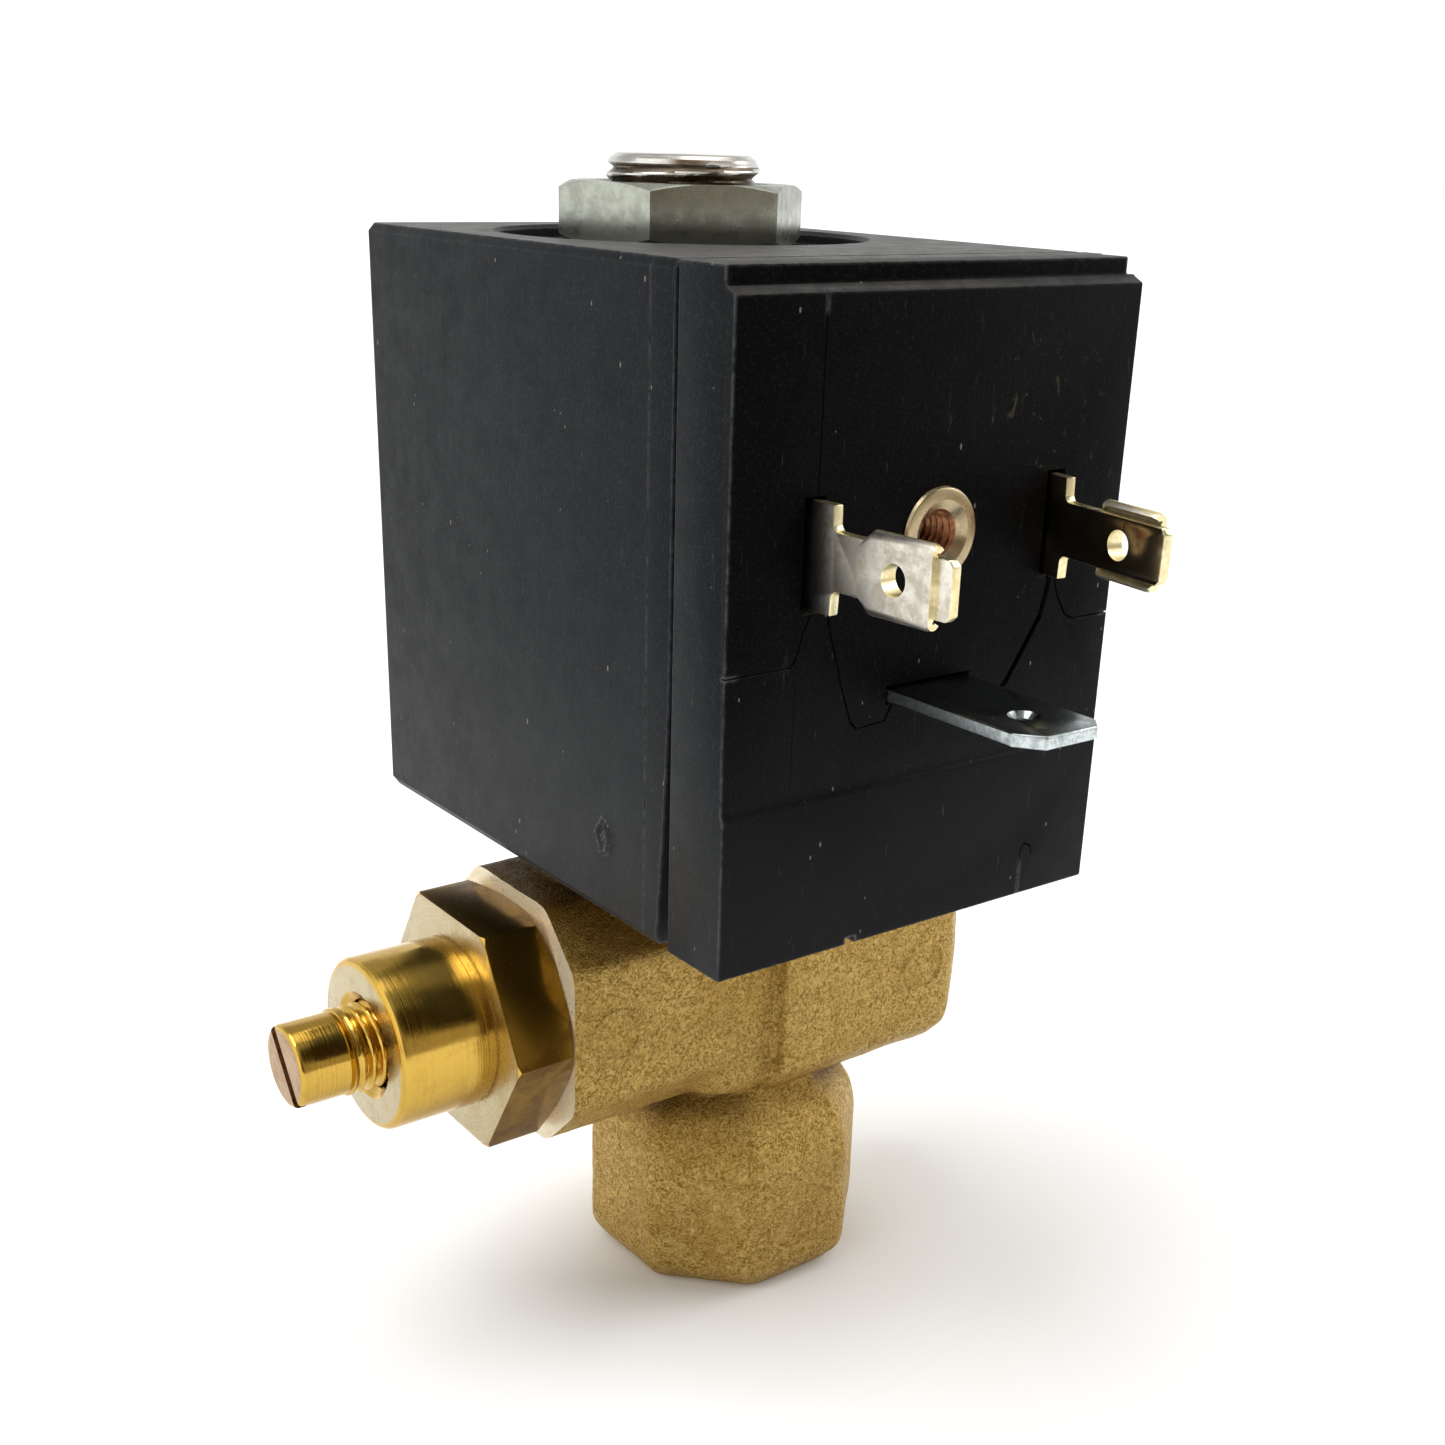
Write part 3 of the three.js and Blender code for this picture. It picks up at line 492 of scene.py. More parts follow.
def screw_thread(pitch, depth, start, stop, fade=0.5):
    """How far a thread stands off a row's radius: depth is negative to cut below it."""

    def rise(along, angle):
        if not start <= along <= stop:
            return 0.0
        phase = (along / pitch - angle / (2 * math.pi)) % 1.0
        groove = min(1.0, max(0.0, (0.5 - abs(phase - 0.5)) * 2.6 - 0.15))
        ease = min(1.0, (along - start) / (fade * pitch), (stop - along) / (fade * pitch))
        return depth * (1 - groove) * ease

    return rise


def rows_between(radius, start, stop, step):
    count = max(1, round(abs(stop - start) / step))
    return [(radius, start + (stop - start) * i / count) for i in range(count + 1)]


def arc(centre, radius, start, stop, steps):
    """Points [(a, b)] of an arc, from start to stop degrees."""
    points = []
    for i in range(steps + 1):
        angle = math.radians(start + (stop - start) * i / steps)
        points.append((centre[0] + radius * math.cos(angle), centre[1] + radius * math.sin(angle)))
    return points


def prism(name, outline, low, high, axis=Z, material=None):
    """An outline in the plane across axis, given thickness from low to high."""
    other = [i for i in range(3) if i != axis]
    points = []
    for level in (low, high):
        for a, b in outline:
            p = Vector((0, 0, 0))
            p[axis] = level
            p[other[0]], p[other[1]] = a, b
            points.append(p)
    n = len(outline)
    faces = [tuple(range(n)), tuple(range(n, 2 * n))]
    faces += [(i, (i + 1) % n, n + (i + 1) % n, n + i) for i in range(n)]
    return solid_from(name, points, faces, material)


def box(name, x, y, z, material=None):
    outline = [(x[0], y[0]), (x[1], y[0]), (x[1], y[1]), (x[0], y[1])]
    return prism(name, outline, *z, Z, material)


def loft(name, loops, material=None):
    """A solid through loops that all have the same number of points."""
    n = len(loops[0])
    points = [p for loop in loops for p in loop]
    faces = [tuple(range(n)), tuple(range(len(points) - n, len(points)))]
    for row in range(len(loops) - 1):
        for i in range(n):
            a, b = row * n + i, row * n + (i + 1) % n
            faces.append((a, b, b + n, a + n))
    return solid_from(name, points, faces, material)


def hull(name, points):
    made = bmesh.new()
    for p in points:
        made.verts.new(p)
    result = bmesh.ops.convex_hull(made, input=made.verts)
    spare = result["geom_interior"] + result["geom_unused"]
    inside = {v for v in spare if isinstance(v, bmesh.types.BMVert)}
    bmesh.ops.delete(made, geom=list(inside), context="VERTS")
    mesh = bpy.data.meshes.new(name)
    made.to_mesh(mesh)
    made.free()
    return place_object(name, mesh)


def settle(obj):
    """Makes the object's modifiers part of its mesh."""
    bpy.context.view_layer.update()
    graph = bpy.context.evaluated_depsgraph_get()
    mesh = bpy.data.meshes.new_from_object(obj.evaluated_get(graph))
    obj.modifiers.clear()
    obj.data = mesh
    return obj


def combine(obj, operation, *tools, solver="EXACT"):
    """Joins tools to obj, cuts them from it, or keeps what it shares with them. The tools go."""
    for tool in tools:
        modifier = obj.modifiers.new("combine", "BOOLEAN")
        modifier.operation = operation
        modifier.solver = solver
        modifier.material_mode = "TRANSFER"
        modifier.object = tool
        settle(obj)
        bpy.data.objects.remove(tool)
    return obj


def merge(name, objects):
    """One object that holds the meshes of several, as they are."""
    made = bmesh.new()
    for o in objects:
        made.from_mesh(o.data)
        bpy.data.objects.remove(o)
    mesh = bpy.data.meshes.new(name)
    made.to_mesh(mesh)
    made.free()
    return place_object(name, mesh)


def soften(obj, width, segments=2, angle=28):
    """Rounds the hard edges."""
    made = bmesh.new()
    made.from_mesh(obj.data)
    flat = math.radians(0.4)
    bmesh.ops.dissolve_limit(made, angle_limit=flat, verts=made.verts, edges=made.edges)
    made.to_mesh(obj.data)
    made.free()
    modifier = obj.modifiers.new("soften", "BEVEL")
    modifier.width = width
    modifier.segments = segments
    modifier.limit_method = "ANGLE"
    modifier.angle_limit = math.radians(angle)
    modifier.miter_outer = "MITER_ARC"
    return settle(obj)


def paint(obj, material, chosen):
    """Gives the faces that chosen picks a material of their own."""
    obj.data.materials.append(material)
    for face in obj.data.polygons:
        if chosen(face):
            face.material_index = len(obj.data.materials) - 1


def paint_ends(obj, material, axis, places):
    """Paints the flat faces across axis, at these places."""
    paint(obj, material, lambda face: (
        abs(face.normal[axis]) > 0.99 and min(abs(face.center[axis] - p) for p in places) < 0.02
    ))


def paint_sheet_edges(obj, material, axis, limit):
    """Paints the cut edges of a sheet: the faces turned away from axis."""
    paint(obj, material, lambda face: abs(face.normal[axis]) < limit)


def finish_piece(obj, name, body, nodes, smooth):
    """Turns the piece into metres, smooths its gentle edges and puts it on its body."""
    obj.data.transform(Matrix.Scale(MM, 4))
    obj.name = name
    obj.data.name = name
    bpy.context.view_layer.update()
    obj.data.shade_smooth()
    obj.data.set_sharp_from_angle(angle=math.radians(smooth))
    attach(obj, body)
    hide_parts(*nodes)


def octagon(half_a, half_b, corner):
    points = []
    for a, b in ((1, 1), (-1, 1), (-1, -1), (1, -1)):
        points += [(a * (half_a - corner), b * half_b), (a * half_a, b * (half_b - corner))]
    return points


def hexagon(across, turn):
    radius = across / math.sqrt(3)
    angles = [math.radians(turn + 60 * i) for i in range(6)]
    return [(radius * math.cos(a), radius * math.sin(a)) for a in angles]


def rounded_rectangle(x, y, radii, steps=5):
    """Outline with rounded corners: right back, left back, left front, right front."""
    corners = ((x[1], y[1], 0), (x[0], y[1], 90), (x[0], y[0], 180), (x[1], y[0], 270))
    points = []
    for (cx, cy, start), r in zip(corners, radii):
        inward = (-1 if cx == x[1] else 1, -1 if cy == y[1] else 1)
        points += arc((cx + inward[0] * r, cy + inward[1] * r), r, start, start + 90, steps)
    return points


# ---- Valve body ----
PORT_HALF, PORT_CORNER = 10.1, 5.9
PORT_SHOULDER = (  # height, half width
    (10.0, 10.1), (12.2, 9.7), (13.7, 8.7), (14.9, 7.3), (15.9, 5.6), (17.4, 4.4),
)
ARM_FROM, ARM_HALF_Y, ARM_HALF_Z, ARM_CORNER = -1.9, 9.3, 9.3, 2.2
BOSS_HALF_Y, BOSS_HALF_Z, BOSS_CORNER = 8.4, 9.1, 3.9


def octagonal(name, sections, along_x):
    """A bar through sections (place along it, two half widths, corner)."""
    points = []
    for at, half_a, half_b, corner in sections:
        for a, b in octagon(half_a, half_b, corner):
            points.append((at, a, AXIS_Z + b) if along_x else (a, b, at))
    return hull(name, points)


def relaxed(obj, rounds, grid=0.33):
    """Melts the parts of obj into one skin, and rounds its edges: more rounds, rounder."""
    remesh = obj.modifiers.new("skin", "REMESH")
    remesh.mode = "VOXEL"
    remesh.voxel_size = grid
    relax = obj.modifiers.new("fillets", "SMOOTH")
    relax.factor = 0.5
    relax.iterations = rounds
    return settle(obj)


def forging():
    """The raw forging, with soft edges and fillets where its stems meet."""
    spare = 0.6  # trimmed off by the machined faces
    sections = [
        (-spare, PORT_HALF - 1.5, PORT_HALF - 1.5, PORT_CORNER - 0.8),
        (1.3, PORT_HALF, PORT_HALF, PORT_CORNER),
    ]
    sections += [(z, half, half, PORT_CORNER * half / PORT_HALF) for z, half in PORT_SHOULDER]
    port = octagonal("port", sections, False)
    boss_section = (BOSS_HALF_Y, BOSS_HALF_Z, BOSS_CORNER)
    boss = octagonal("boss", [(body_low.x - 4, *boss_section), (2, *boss_section)], True)
    top_profile = [(0, AXIS_Z), (7.6, AXIS_Z), (7.6, 30.5), (10.2, 34.2), (10.2, 39), (0, 39)]
    top = revolve("top", top_profile, TUBE_LINE, sides=64)
    neck_points = []
    for z, grown in ((16.2, -1.2), (17.0, -0.1), (18.5, 0.1), (22.0, 0.2)):
        x, y = (-8.2 - grown, ARM_FROM + 0.3), (-8.2 - grown, 8.2 + grown)
        neck_points += [(*p, z) for p in rounded_rectangle(x, y, (1, 3, 3, 1), 2)]
    stems = relaxed(merge("stems", [port, boss, top, hull("neck", neck_points)]), 16)
    arm_sections = [
        (ARM_FROM - 4, ARM_HALF_Y, ARM_HALF_Z, ARM_CORNER),
        (body_high.x - 2.0, ARM_HALF_Y, ARM_HALF_Z, ARM_CORNER),
        (body_high.x + spare, ARM_HALF_Y - 2.3, ARM_HALF_Z - 2.3, ARM_CORNER),
    ]
    arm = octagonal("arm", arm_sections, True)
    relaxed(arm, 20)
    rear = box("rear", (-20, ARM_FROM), (-14, 14), (0, 50))
    under = box("under", (8.4, 30), (-14, 14), (AXIS_Z - 20, AXIS_Z - ARM_HALF_Z + 0.35))
    combine(arm, "DIFFERENCE", rear, under, solver="MANIFOLD")
    raw = relaxed(merge("forging", [stems, arm]), 5, 0.28)
    moved = []
    for vertex in raw.data.vertices:
        p = vertex.co
        uneven = 0.075 * noise.noise(p * 0.28) + 0.03 * noise.noise(p * 1.1)
        moved.extend(p + vertex.normal * uneven)
    raw.data.vertices.foreach_set("co", moved)
    raw.data.update()
    raw.data.materials.clear()
    raw.data.materials.append(FORGED)
    return raw


def ejector_mark(centre, axis, radius):
    """The raised ring that an ejector pin leaves."""
    tube, sunk = 0.36, 0.24
    profile = arc((radius, centre[axis] + sunk), tube, 0, 360, 12)[:-1]
    return revolve("mark", profile + profile[:1], (axis, centre), FORGED, 40)


def port_cutter(line, mouth, inward):
    """A threaded pipe port's bore, running inward (+1 or -1) along line from its mouth."""
    pitch, core, depth, length = 1.337, 5.95, 0.6, 11.0
    full = core + depth
    start, stop = sorted((mouth + inward * 0.9, mouth + inward * (length - 1)))
    thread = screw_thread(pitch, -depth, start, stop, 0.7)
    rows = [(0, -1.5), (full + 0.6, -1.5), (full + 0.6, 0)]
    rows += rows_between(full, 0.9, length - 1, pitch / 8)
    rows += [(core, length), (0, length + 1.4)]
    return revolve("bore", [(r, mouth + inward * a) for r, a in rows], line, BORED, 64, thread)


def add_valve_body():
    body = forging()
    left, right = body_low.x, body_high.x
    marks = [
        ejector_mark((-15.85, -BOSS_HALF_Y, 24.9), Y, 1.9),
        ejector_mark((11.9, -ARM_HALF_Y, 23.4), Y, 1.9),
        ejector_mark((-0.8, -PORT_HALF, 4.9), Y, 2.1),
    ]
    combine(body, "UNION", merge("marks", marks), solver="MANIFOLD")
    duct = [(0, 10), (2.5, 10), (2.5, AXIS_Z + 1.5), (0, AXIS_Z + 1.5)]
    across = [
        (0, left - 2), (7.7, left - 2), (7.7, left + 1.25), (6.5, left + 1.25), (6.5, -12.1),
        (3.6, -12.1), (3.6, -4.2), (1.5, -4.2), (1.5, 0.5), (0, 0.5),
    ]
    upward = [
        (0, AXIS_Z), (1.25, AXIS_Z), (1.25, 31), (2.2, 31), (2.2, 29.5), (5.6, 29.5), (5.6, 33),
        (6.1, 33), (6.1, 31.8), (7.8, 31.8), (7.8, 33), (8.4, 33), (8.4, 38), (0, 38),
    ]
    inlet = [(0, -1), (1.2, -1), (1.2, 7), (0, 7)]
    wide = 14
    beside = (AXIS_Z - wide, AXIS_Z + wide)
    cutters = [
        # the spot-faced ring gets the painted-sheen brass
        box("trim", (left - 5, left), (-wide, wide), beside, SPOT_FACE_SHEEN),
        box("trim", (right, right + 5), (-wide, wide), beside, MACHINED),
        box("trim", (-wide, wide), (-wide, wide), (-5, 0), BORED),
        box("trim", (-wide - 6, wide - 6), (-wide, wide), (body_high.z, body_high.z + 5), BORED),
        port_cutter(PORT_LINE, 0, 1),
        port_cutter(REGULATOR_LINE, right, -1),
        revolve("duct", duct, PORT_LINE, BORED, 40),
        revolve("across", across, REGULATOR_LINE, BORED, 64),
        revolve("upward", upward, TUBE_LINE, BORED, 64),
        revolve("inlet", inlet, (X, (0, 0, 29.7)), BORED, 24),
    ]
    combine(body, "DIFFERENCE", *cutters, solver="MANIFOLD")
    finish_piece(body, "forged_body", "valve", ["valve_body"], smooth=38)


# ---- Regulator ----
HEX_FROM, HEX_TO, HEX_ACROSS, HEX_TURN = -24.2, body_low.x - 0.05, 16.0, 0.6
NEEDLE_PITCH = 0.75


def add_bonnet():
    """The hexagon and the nose that the needle runs in."""
    front, back = bonnet_low.x, bonnet_high.x
    outline = [(y, z + AXIS_Z) for y, z in hexagon(HEX_ACROSS, HEX_TURN)]
    plate = prism("hex", outline, HEX_FROM, HEX_TO, X, DRAWN)
    corner, flat = HEX_ACROSS / math.sqrt(3), HEX_ACROSS / 2
    dome = [
        (0, HEX_FROM), (corner - 0.25, HEX_FROM), (corner + 0.05, HEX_FROM + 0.2),
        (corner + 0.05, HEX_TO - 0.75), (flat + 0.05, HEX_TO), (0, HEX_TO),
    ]
    combine(plate, "INTERSECT", revolve("dome", dome, REGULATOR_LINE, TURNED, 128))
    soften(plate, 0.10)
    nose, waist = 6.0, 5.84
    sleeve = [
        (0, front), (nose - 0.5, front), (nose - 0.22, front + 0.1), (nose - 0.05, front + 0.28),
        (nose, front + 0.5), (nose, HEX_FROM - 0.45), (waist, HEX_FROM - 0.3),
        (waist, HEX_FROM + 1), (6.2, HEX_FROM + 1), (6.2, back - 0.4), (5.8, back), (0, back),
    ]
    bore = [
        (0, front - 1), (3.9, front - 1), (3.75, front), (3.4, front + 0.28), (3.12, front + 0.5),
        (3.12, -26.0), (3.9, -26.0), (3.9, back + 1), (0, back + 1),
    ]
    combine(plate, "UNION", revolve("sleeve", sleeve, REGULATOR_LINE, TURNED, 128))
    combine(plate, "DIFFERENCE", revolve("bore", bore, REGULATOR_LINE, TURNED))
    paint_ends(plate, MACHINED, X, (HEX_FROM, front))
    finish_piece(plate, "bonnet", "valve", ["regulator_bonnet"], smooth=25)


def add_needle():
    start, stop = needle_low.x, needle_high.x
    thread_from, thread_to = -32.85, -26.3
    head, crest, root = 2.86, 3.0, 2.6
    profile = [(0, start), (head - 0.55, start)]
    profile += [(head - 0.3 + a, start + 0.3 - b) for a, b in arc((0, 0), 0.3, 90, 0, 4)]
    profile += [(head, start + 1.6), (head, thread_from - 0.3), (root + 0.1, thread_from - 0.12)]
    profile += rows_between(crest, thread_from, thread_to, NEEDLE_PITCH / 10)
    profile += [
        (2.5, thread_to + 0.3), (2.5, -24.8), (3.2, -24.8), (3.4, -24.6), (3.4, -18.8),
        (2.5, -18.8), (2.5, -17.2), (3.4, -17.2), (3.4, -13.6), (3.2, -13.4), (1.8, -13.4),
        (1.8, -8.0), (0.3, stop), (0, stop),
    ]
    thread = screw_thread(NEEDLE_PITCH, root - crest, thread_from - 0.01, thread_to, 1.0)
    needle = revolve("needle", profile, REGULATOR_LINE, TURNED, 80, thread)
    paint_ends(needle, SLOTTED, X, (start,))
    slot = box("slot", (start - 1, start + 0.55), (-0.42, 0.42), (-4, 4), SLOTTED)
    turn = Matrix.Rotation(math.radians(-35), 4, "X")
    slot.data.transform(Matrix.Translation((0, 0, AXIS_Z)) @ turn)
    combine(needle, "DIFFERENCE", slot)
    finish_piece(needle, "needle", "needle", ["needle_screw"], smooth=30)


# ---- Stud and nut on top of the coil ----
def add_core():
    low, high = core_low.z, core_high.z
    crest, root, pitch = 4.9, 4.42, 1.0
    thread_from = 69.5
    profile = [
        (0, low), (2.7, low), (2.7, low + 1.6), (3.7, low + 1.6), (3.7, low), (4.15, low),
        (4.3, low + 0.15), (4.3, 68.3), (crest, 68.3), (crest, thread_from),
    ]
    profile += rows_between(crest, thread_from, high - 0.55, pitch / 10)
    profile += [
        (4.62, high - 0.28), (4.33, high - 0.08), (4.2, high), (1.1, high), (0.9, high - 0.12),
        (0, high - 0.16),
    ]
    thread = screw_thread(pitch, root - crest, thread_from, high - 0.3, 0.5)
    core = revolve("core", profile, TUBE_LINE, STAINLESS, thread=thread)

    def in_thread(face):
        out = math.hypot(face.center.x - TUBE_X, face.center.y)
        return nut_low.z < face.center.z < high - 0.62 and root - 0.1 < out < crest - 0.07

    # painted shade: the grooves of the stud's thread get the dark material
    paint(core, SHADED_THREAD_ROOT, in_thread)
    finish_piece(core, "core_stud", "valve", ["fixed_core"], smooth=34)


def add_return_spring():
    """A wire spring with closed ends, held by the core."""
    wire, turns, steps, sides = 0.2, 9, 24, 10
    coil_radius = (spring_high.x - spring_low.x) / 2 - wire
    low, high = spring_low.z + wire, spring_high.z - wire
    closed = 2.05 * wire  # rise of the first and the last turn
    pitch = (high - low - 2 * closed) / (turns - 2)
    loops = []
    around = [2 * math.pi * k / sides for k in range(sides)]
    for i in range(turns * steps + 1):
        turn = i / steps
        z = low + closed * min(turn, 1) + pitch * min(max(turn - 1, 0), turns - 2)
        z += closed * max(turn - turns + 1, 0)
        outward = Vector((math.cos(2 * math.pi * turn), math.sin(2 * math.pi * turn), 0))
        centre = Vector((TUBE_X, 0, z)) + outward * coil_radius
        loops.append([
            centre + wire * (outward * math.cos(a) + Vector((0, 0, math.sin(a)))) for a in around
        ])
    spring = loft("spring", loops, STAINLESS)
    finish_piece(spring, "return_spring", "valve", ["plunger_spring"], smooth=50)
    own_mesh(spring)


def add_nut():
    low, high = nut_low.z, nut_high.z
    across, turn = 14.0, 40.7
    corner, flat = across / math.sqrt(3), across / 2
    drop = 0.42
    nut = prism("nut", [(x + TUBE_X, y) for x, y in hexagon(across, turn)], low, high, Z, ZINC)
    dome = [
        (0, low), (flat + 0.1, low), (corner + 0.02, low + drop), (corner + 0.02, high - drop),
        (flat + 0.1, high), (0, high),
    ]
    combine(nut, "INTERSECT", revolve("dome", dome, TUBE_LINE, ZINC, 128))
    soften(nut, 0.11, angle=20)
    bore = [
        (0, low - 1), (5.7, low - 1), (5.7, low), (5.05, low + 0.55), (5.05, high - 0.55),
        (5.7, high), (5.7, high + 1), (0, high + 1),
    ]
    combine(nut, "DIFFERENCE", revolve("bore", bore, TUBE_LINE, ZINC))
    finish_piece(nut, "nut", "valve", ["coil_nut"], smooth=25)


# ---- Coil ----
def add_housing():
    """The main moulding. Its front rim is a little ragged where the second moulding was cast on."""
    rim, levels = 0.3, 78
    loops = []
    for i in range(levels + 1):
        z = COIL_Z + (COIL_TOP - COIL_Z) * i / levels
        inset = rim if i in (0, levels) else 0.0
        low = max(0.0, 1 - (z - COIL_Z) / 17)
        tear = noise.noise(Vector((0, 0, z * 1.7))) + 0.6 * noise.noise(Vector((3, 1, z * 5)))
        front = SEAM_Y + 0.08 + 0.95 * low ** 1.4 + (0.05 + 0.12 * low) * tear
        x, y = (COIL_LEFT + inset, COIL_RIGHT - inset), (front, COIL_BACK - inset)
        loops.append([Vector((*p, z)) for p in rounded_rectangle(x, y, (0.75, 0.75, 0.12, 0.12))])
    housing = loft("housing", loops, HOUSING)
    inside = (TUBE_X - 12.6, TUBE_X + 12.6)
    cavity = box("cavity", inside, (-18.0, 12.8), (COIL_Z + 1.2, COIL_Z + 38.1), HOUSING)
    well = 11.9
    recess = [
        (0, 74), (well, 74), (well, COIL_TOP - 0.25), (well + 0.25, COIL_TOP), (well + 0.3, 78),
        (0, 78),
    ]
    foot = [(0, 36), (8.6, 36), (8.6, 40), (0, 40)]
    tools = [cavity, revolve("recess", recess, TUBE_LINE, HOUSING, 128)]
    tools.append(revolve("foot", foot, TUBE_LINE, HOUSING))
    groove_y, half, depth = -18.4, 0.2, 0.3
    for side, x in ((1, COIL_LEFT), (-1, COIL_RIGHT)):
        outside, bottom = x - side, (x + side * depth, groove_y)
        outline = [(outside, groove_y - half), bottom, (outside, groove_y + half)]
        tools.append(prism("groove", outline, COIL_Z - 1, COIL_TOP + 1, Z, HOUSING))
    combine(housing, "DIFFERENCE", *tools)
    combine(housing, "UNION", gate_scar())
    finish_piece(housing, "housing", "coil", ["coil_housing"], smooth=30)


def gate_scar():
    """The torn stub where the plastic was let into the mould: a low crater with a ragged rim."""
    rings = ((1.0, -0.3), (0.95, 0.05), (0.75, 0.2), (0.55, 0.12), (0.3, -0.02), (0.12, 0.1))
    middle, sides = Vector((COIL_LEFT, -14.0, 42.6)), 28
    loops = []
    for reach, height in rings:
        loop = []
        for k in range(sides):
            y, z = math.cos(2 * math.pi * k / sides), math.sin(2 * math.pi * k / sides)
            tear = noise.noise(Vector((y * 2.2, z * 2.2, reach * 3)))
            across = reach * (0.72 + 0.22 * tear)
            up = reach * (1.25 + 0.3 * tear)
            rise = height + (0.16 * tear if height > 0 else 0)
            loop.append(middle + Vector((-rise, across * y, up * z)))
        loops.append(loop)
    return loft("gate", loops, HOUSING)


def groove_along(path, width, depth):
    """A cutter for a thin joint line in the front face, through [(x, z)] points."""
    line = [Vector(p) for p in path]
    left, right = [], []
    for i, p in enumerate(line):
        before = (p - line[i - 1]).normalized() if i else (line[1] - p).normalized()
        after = (line[i + 1] - p).normalized() if i < len(line) - 1 else before
        along = (before + after).normalized()
        across = Vector((-along.y, along.x)) * (width / 2)
        left.append(tuple(p + across))
        right.append(tuple(p - across))
    return prism("line", left + right[::-1], FRONT_Y - 1, FRONT_Y + depth, Y, SHADED_FRONT_MOULDING)


def add_block():
    """The front moulding, which holds the contacts: a lip on top and a proud lower part."""
    ledge, lip_z, lip_y = COIL_Z + 37.6, COIL_Z + 38.0, -25.0
    step, proud = COIL_Z + 10.0, 0.2
    profile = [
        (FRONT_Y - proud, COIL_Z), (FRONT_Y - proud, step - proud), (FRONT_Y, step),
        (FRONT_Y, ledge), (lip_y, lip_z), (lip_y, COIL_TOP), (SEAM_Y - 0.1, COIL_TOP),
        (SEAM_Y - 0.1, COIL_Z),
    ]
    block = prism("block", profile, COIL_LEFT, COIL_RIGHT, X, SHADED_FRONT_MOULDING)
    soften(block, 0.14, angle=40)
    lip_end = (COIL_RIGHT - 0.7, COIL_RIGHT + 1)
    tools = [box("end", lip_end, (-28, -22.4), (lip_z, COIL_TOP + 1), SHADED_FRONT_MOULDING)]
    left, right = COIL_LEFT - 1, COIL_RIGHT + 1
    lines = (  # the joint lines' points (x, z), and their widths
        ([(left, 55.4), (-16.3, 55.4), (-15.9, 55.9), (-15.55, 57.1), (-14.9, 58.5)], 0.13),
        ([(-13.9, 58.4), (-13.75, 57.8), (-12.45, 53.6), (-11.65, 51.5), (-11.2, 51.05),
          (-9.1, 51.2), (-8.75, 51.9), (-8.4, 52.5)], 0.16),
        ([(3.5, 58.6), (3.6, 57.9), (3.1, 55.9), (0.65, 52.1), (-0.6, 51.0), (-2.6, 51.2),
          (-3.2, 52.4)], 0.42),
        ([(4.1, 58.0), (4.45, 57.0), (5.3, 55.7), (6.0, 55.35), (right, 55.4)], 0.13),
        ([(-14.8, ledge + 1), (-14.85, 64.5)], 0.10),
        ([(-15.9, 54.6), (-15.95, 48.2)], 0.06),
        ([(3.2, COIL_Z - 1), (3.2, 40.6), (3.45, 41.0), (4.1, 40.7), (4.2, 40.1)], 0.12),
    )
    for path, width in lines:
        tools.append(groove_along(path, width, 0.3 if width > 0.08 else 0.05))
    seat = [(0, -30), (2.73, -30), (2.73, FRONT_Y + 4.6), (0, FRONT_Y + 4.6)]
    tools.append(revolve("seat", seat, INSERT_LINE, SHADED_FRONT_MOULDING, 64))
    for side in (-1, 1):
        x = sorted((TUBE_X + side * 8.45, TUBE_X + side * 9.95))
        tools.append(box("slit", x, (-28, -20), (CONTACT_Z - 3.2, CONTACT_Z + 3.2), SHADED_FRONT_MOULDING))
    earth_slit = (earth_low.z - 0.2, earth_high.z + 0.2)
    tools.append(box("slit", (TUBE_X - 3.3, TUBE_X + 3.3), (-28, -20), earth_slit, SHADED_FRONT_MOULDING))
    tools.append(box("nick", (-11.3, -10.5), (-27, -25.2), (COIL_Z - 1, COIL_Z + 0.45), SHADED_FRONT_MOULDING))
    combine(block, "DIFFERENCE", *tools)
    # the block's ends keep the housing's moulding; the rest has the darker painted-shade copy
    paint(block, HOUSING, lambda face: abs(face.normal.x) > 0.9)
    finish_piece(block, "front_block", "coil", ["connector_block"], smooth=30)


# ---- Contacts ----
def add_power_tab(name, node, side, lean_degrees):
    """A flat contact: a root with two lugs, and a blade with a second leaf folded over it."""
    t = 0.34  # half its thickness
    lug, neck, tip, chamfer = 3.0, 1.6, 10.15, 0.3
    outline = [
        (4.2, -lug), (4.2, lug), (-1.55, lug), (-1.6, neck + 0.25), (-1.85, neck),
        (-tip + chamfer, neck), (-tip, neck - chamfer), (-tip, -neck + chamfer),
        (-tip + chamfer, -neck), (-1.85, -neck), (-1.6, -neck - 0.25), (-1.55, -lug),
    ]
    leaf = prism("leaf", outline, -t, t, X, TINNED)
    soften(leaf, 0.09)
    hole = [(0, -3), (0.88, -3), (0.88, 3), (0, 3)]
    combine(leaf, "UNION", folded_wing(t))
    combine(leaf, "DIFFERENCE", revolve("hole", hole, (X, (0, -6.5, 0)), CUT_EDGE, 40))
    paint_sheet_edges(leaf, CUT_EDGE, X, 0.45)
    # painted reflection: the inner side gets the darker copy of the tinned face
    paint(leaf, TIN_FACE_PAINTED_REFLECTION, lambda face: face.normal.x < -0.8 and face.center.x < -t + 0.05)
    handed = Matrix.Scale(side, 4, (1, 0, 0))
    lean = Matrix.Rotation(math.radians(-lean_degrees * side), 4, "Z")
    middle = Vector((TUBE_X + side * 9.0, FRONT_Y, CONTACT_Z))
    leaf.data.transform(Matrix.Translation(middle) @ lean @ handed)
    if side < 0:
        leaf.data.flip_normals()
    finish_piece(leaf, name, "coil", [node], smooth=30)


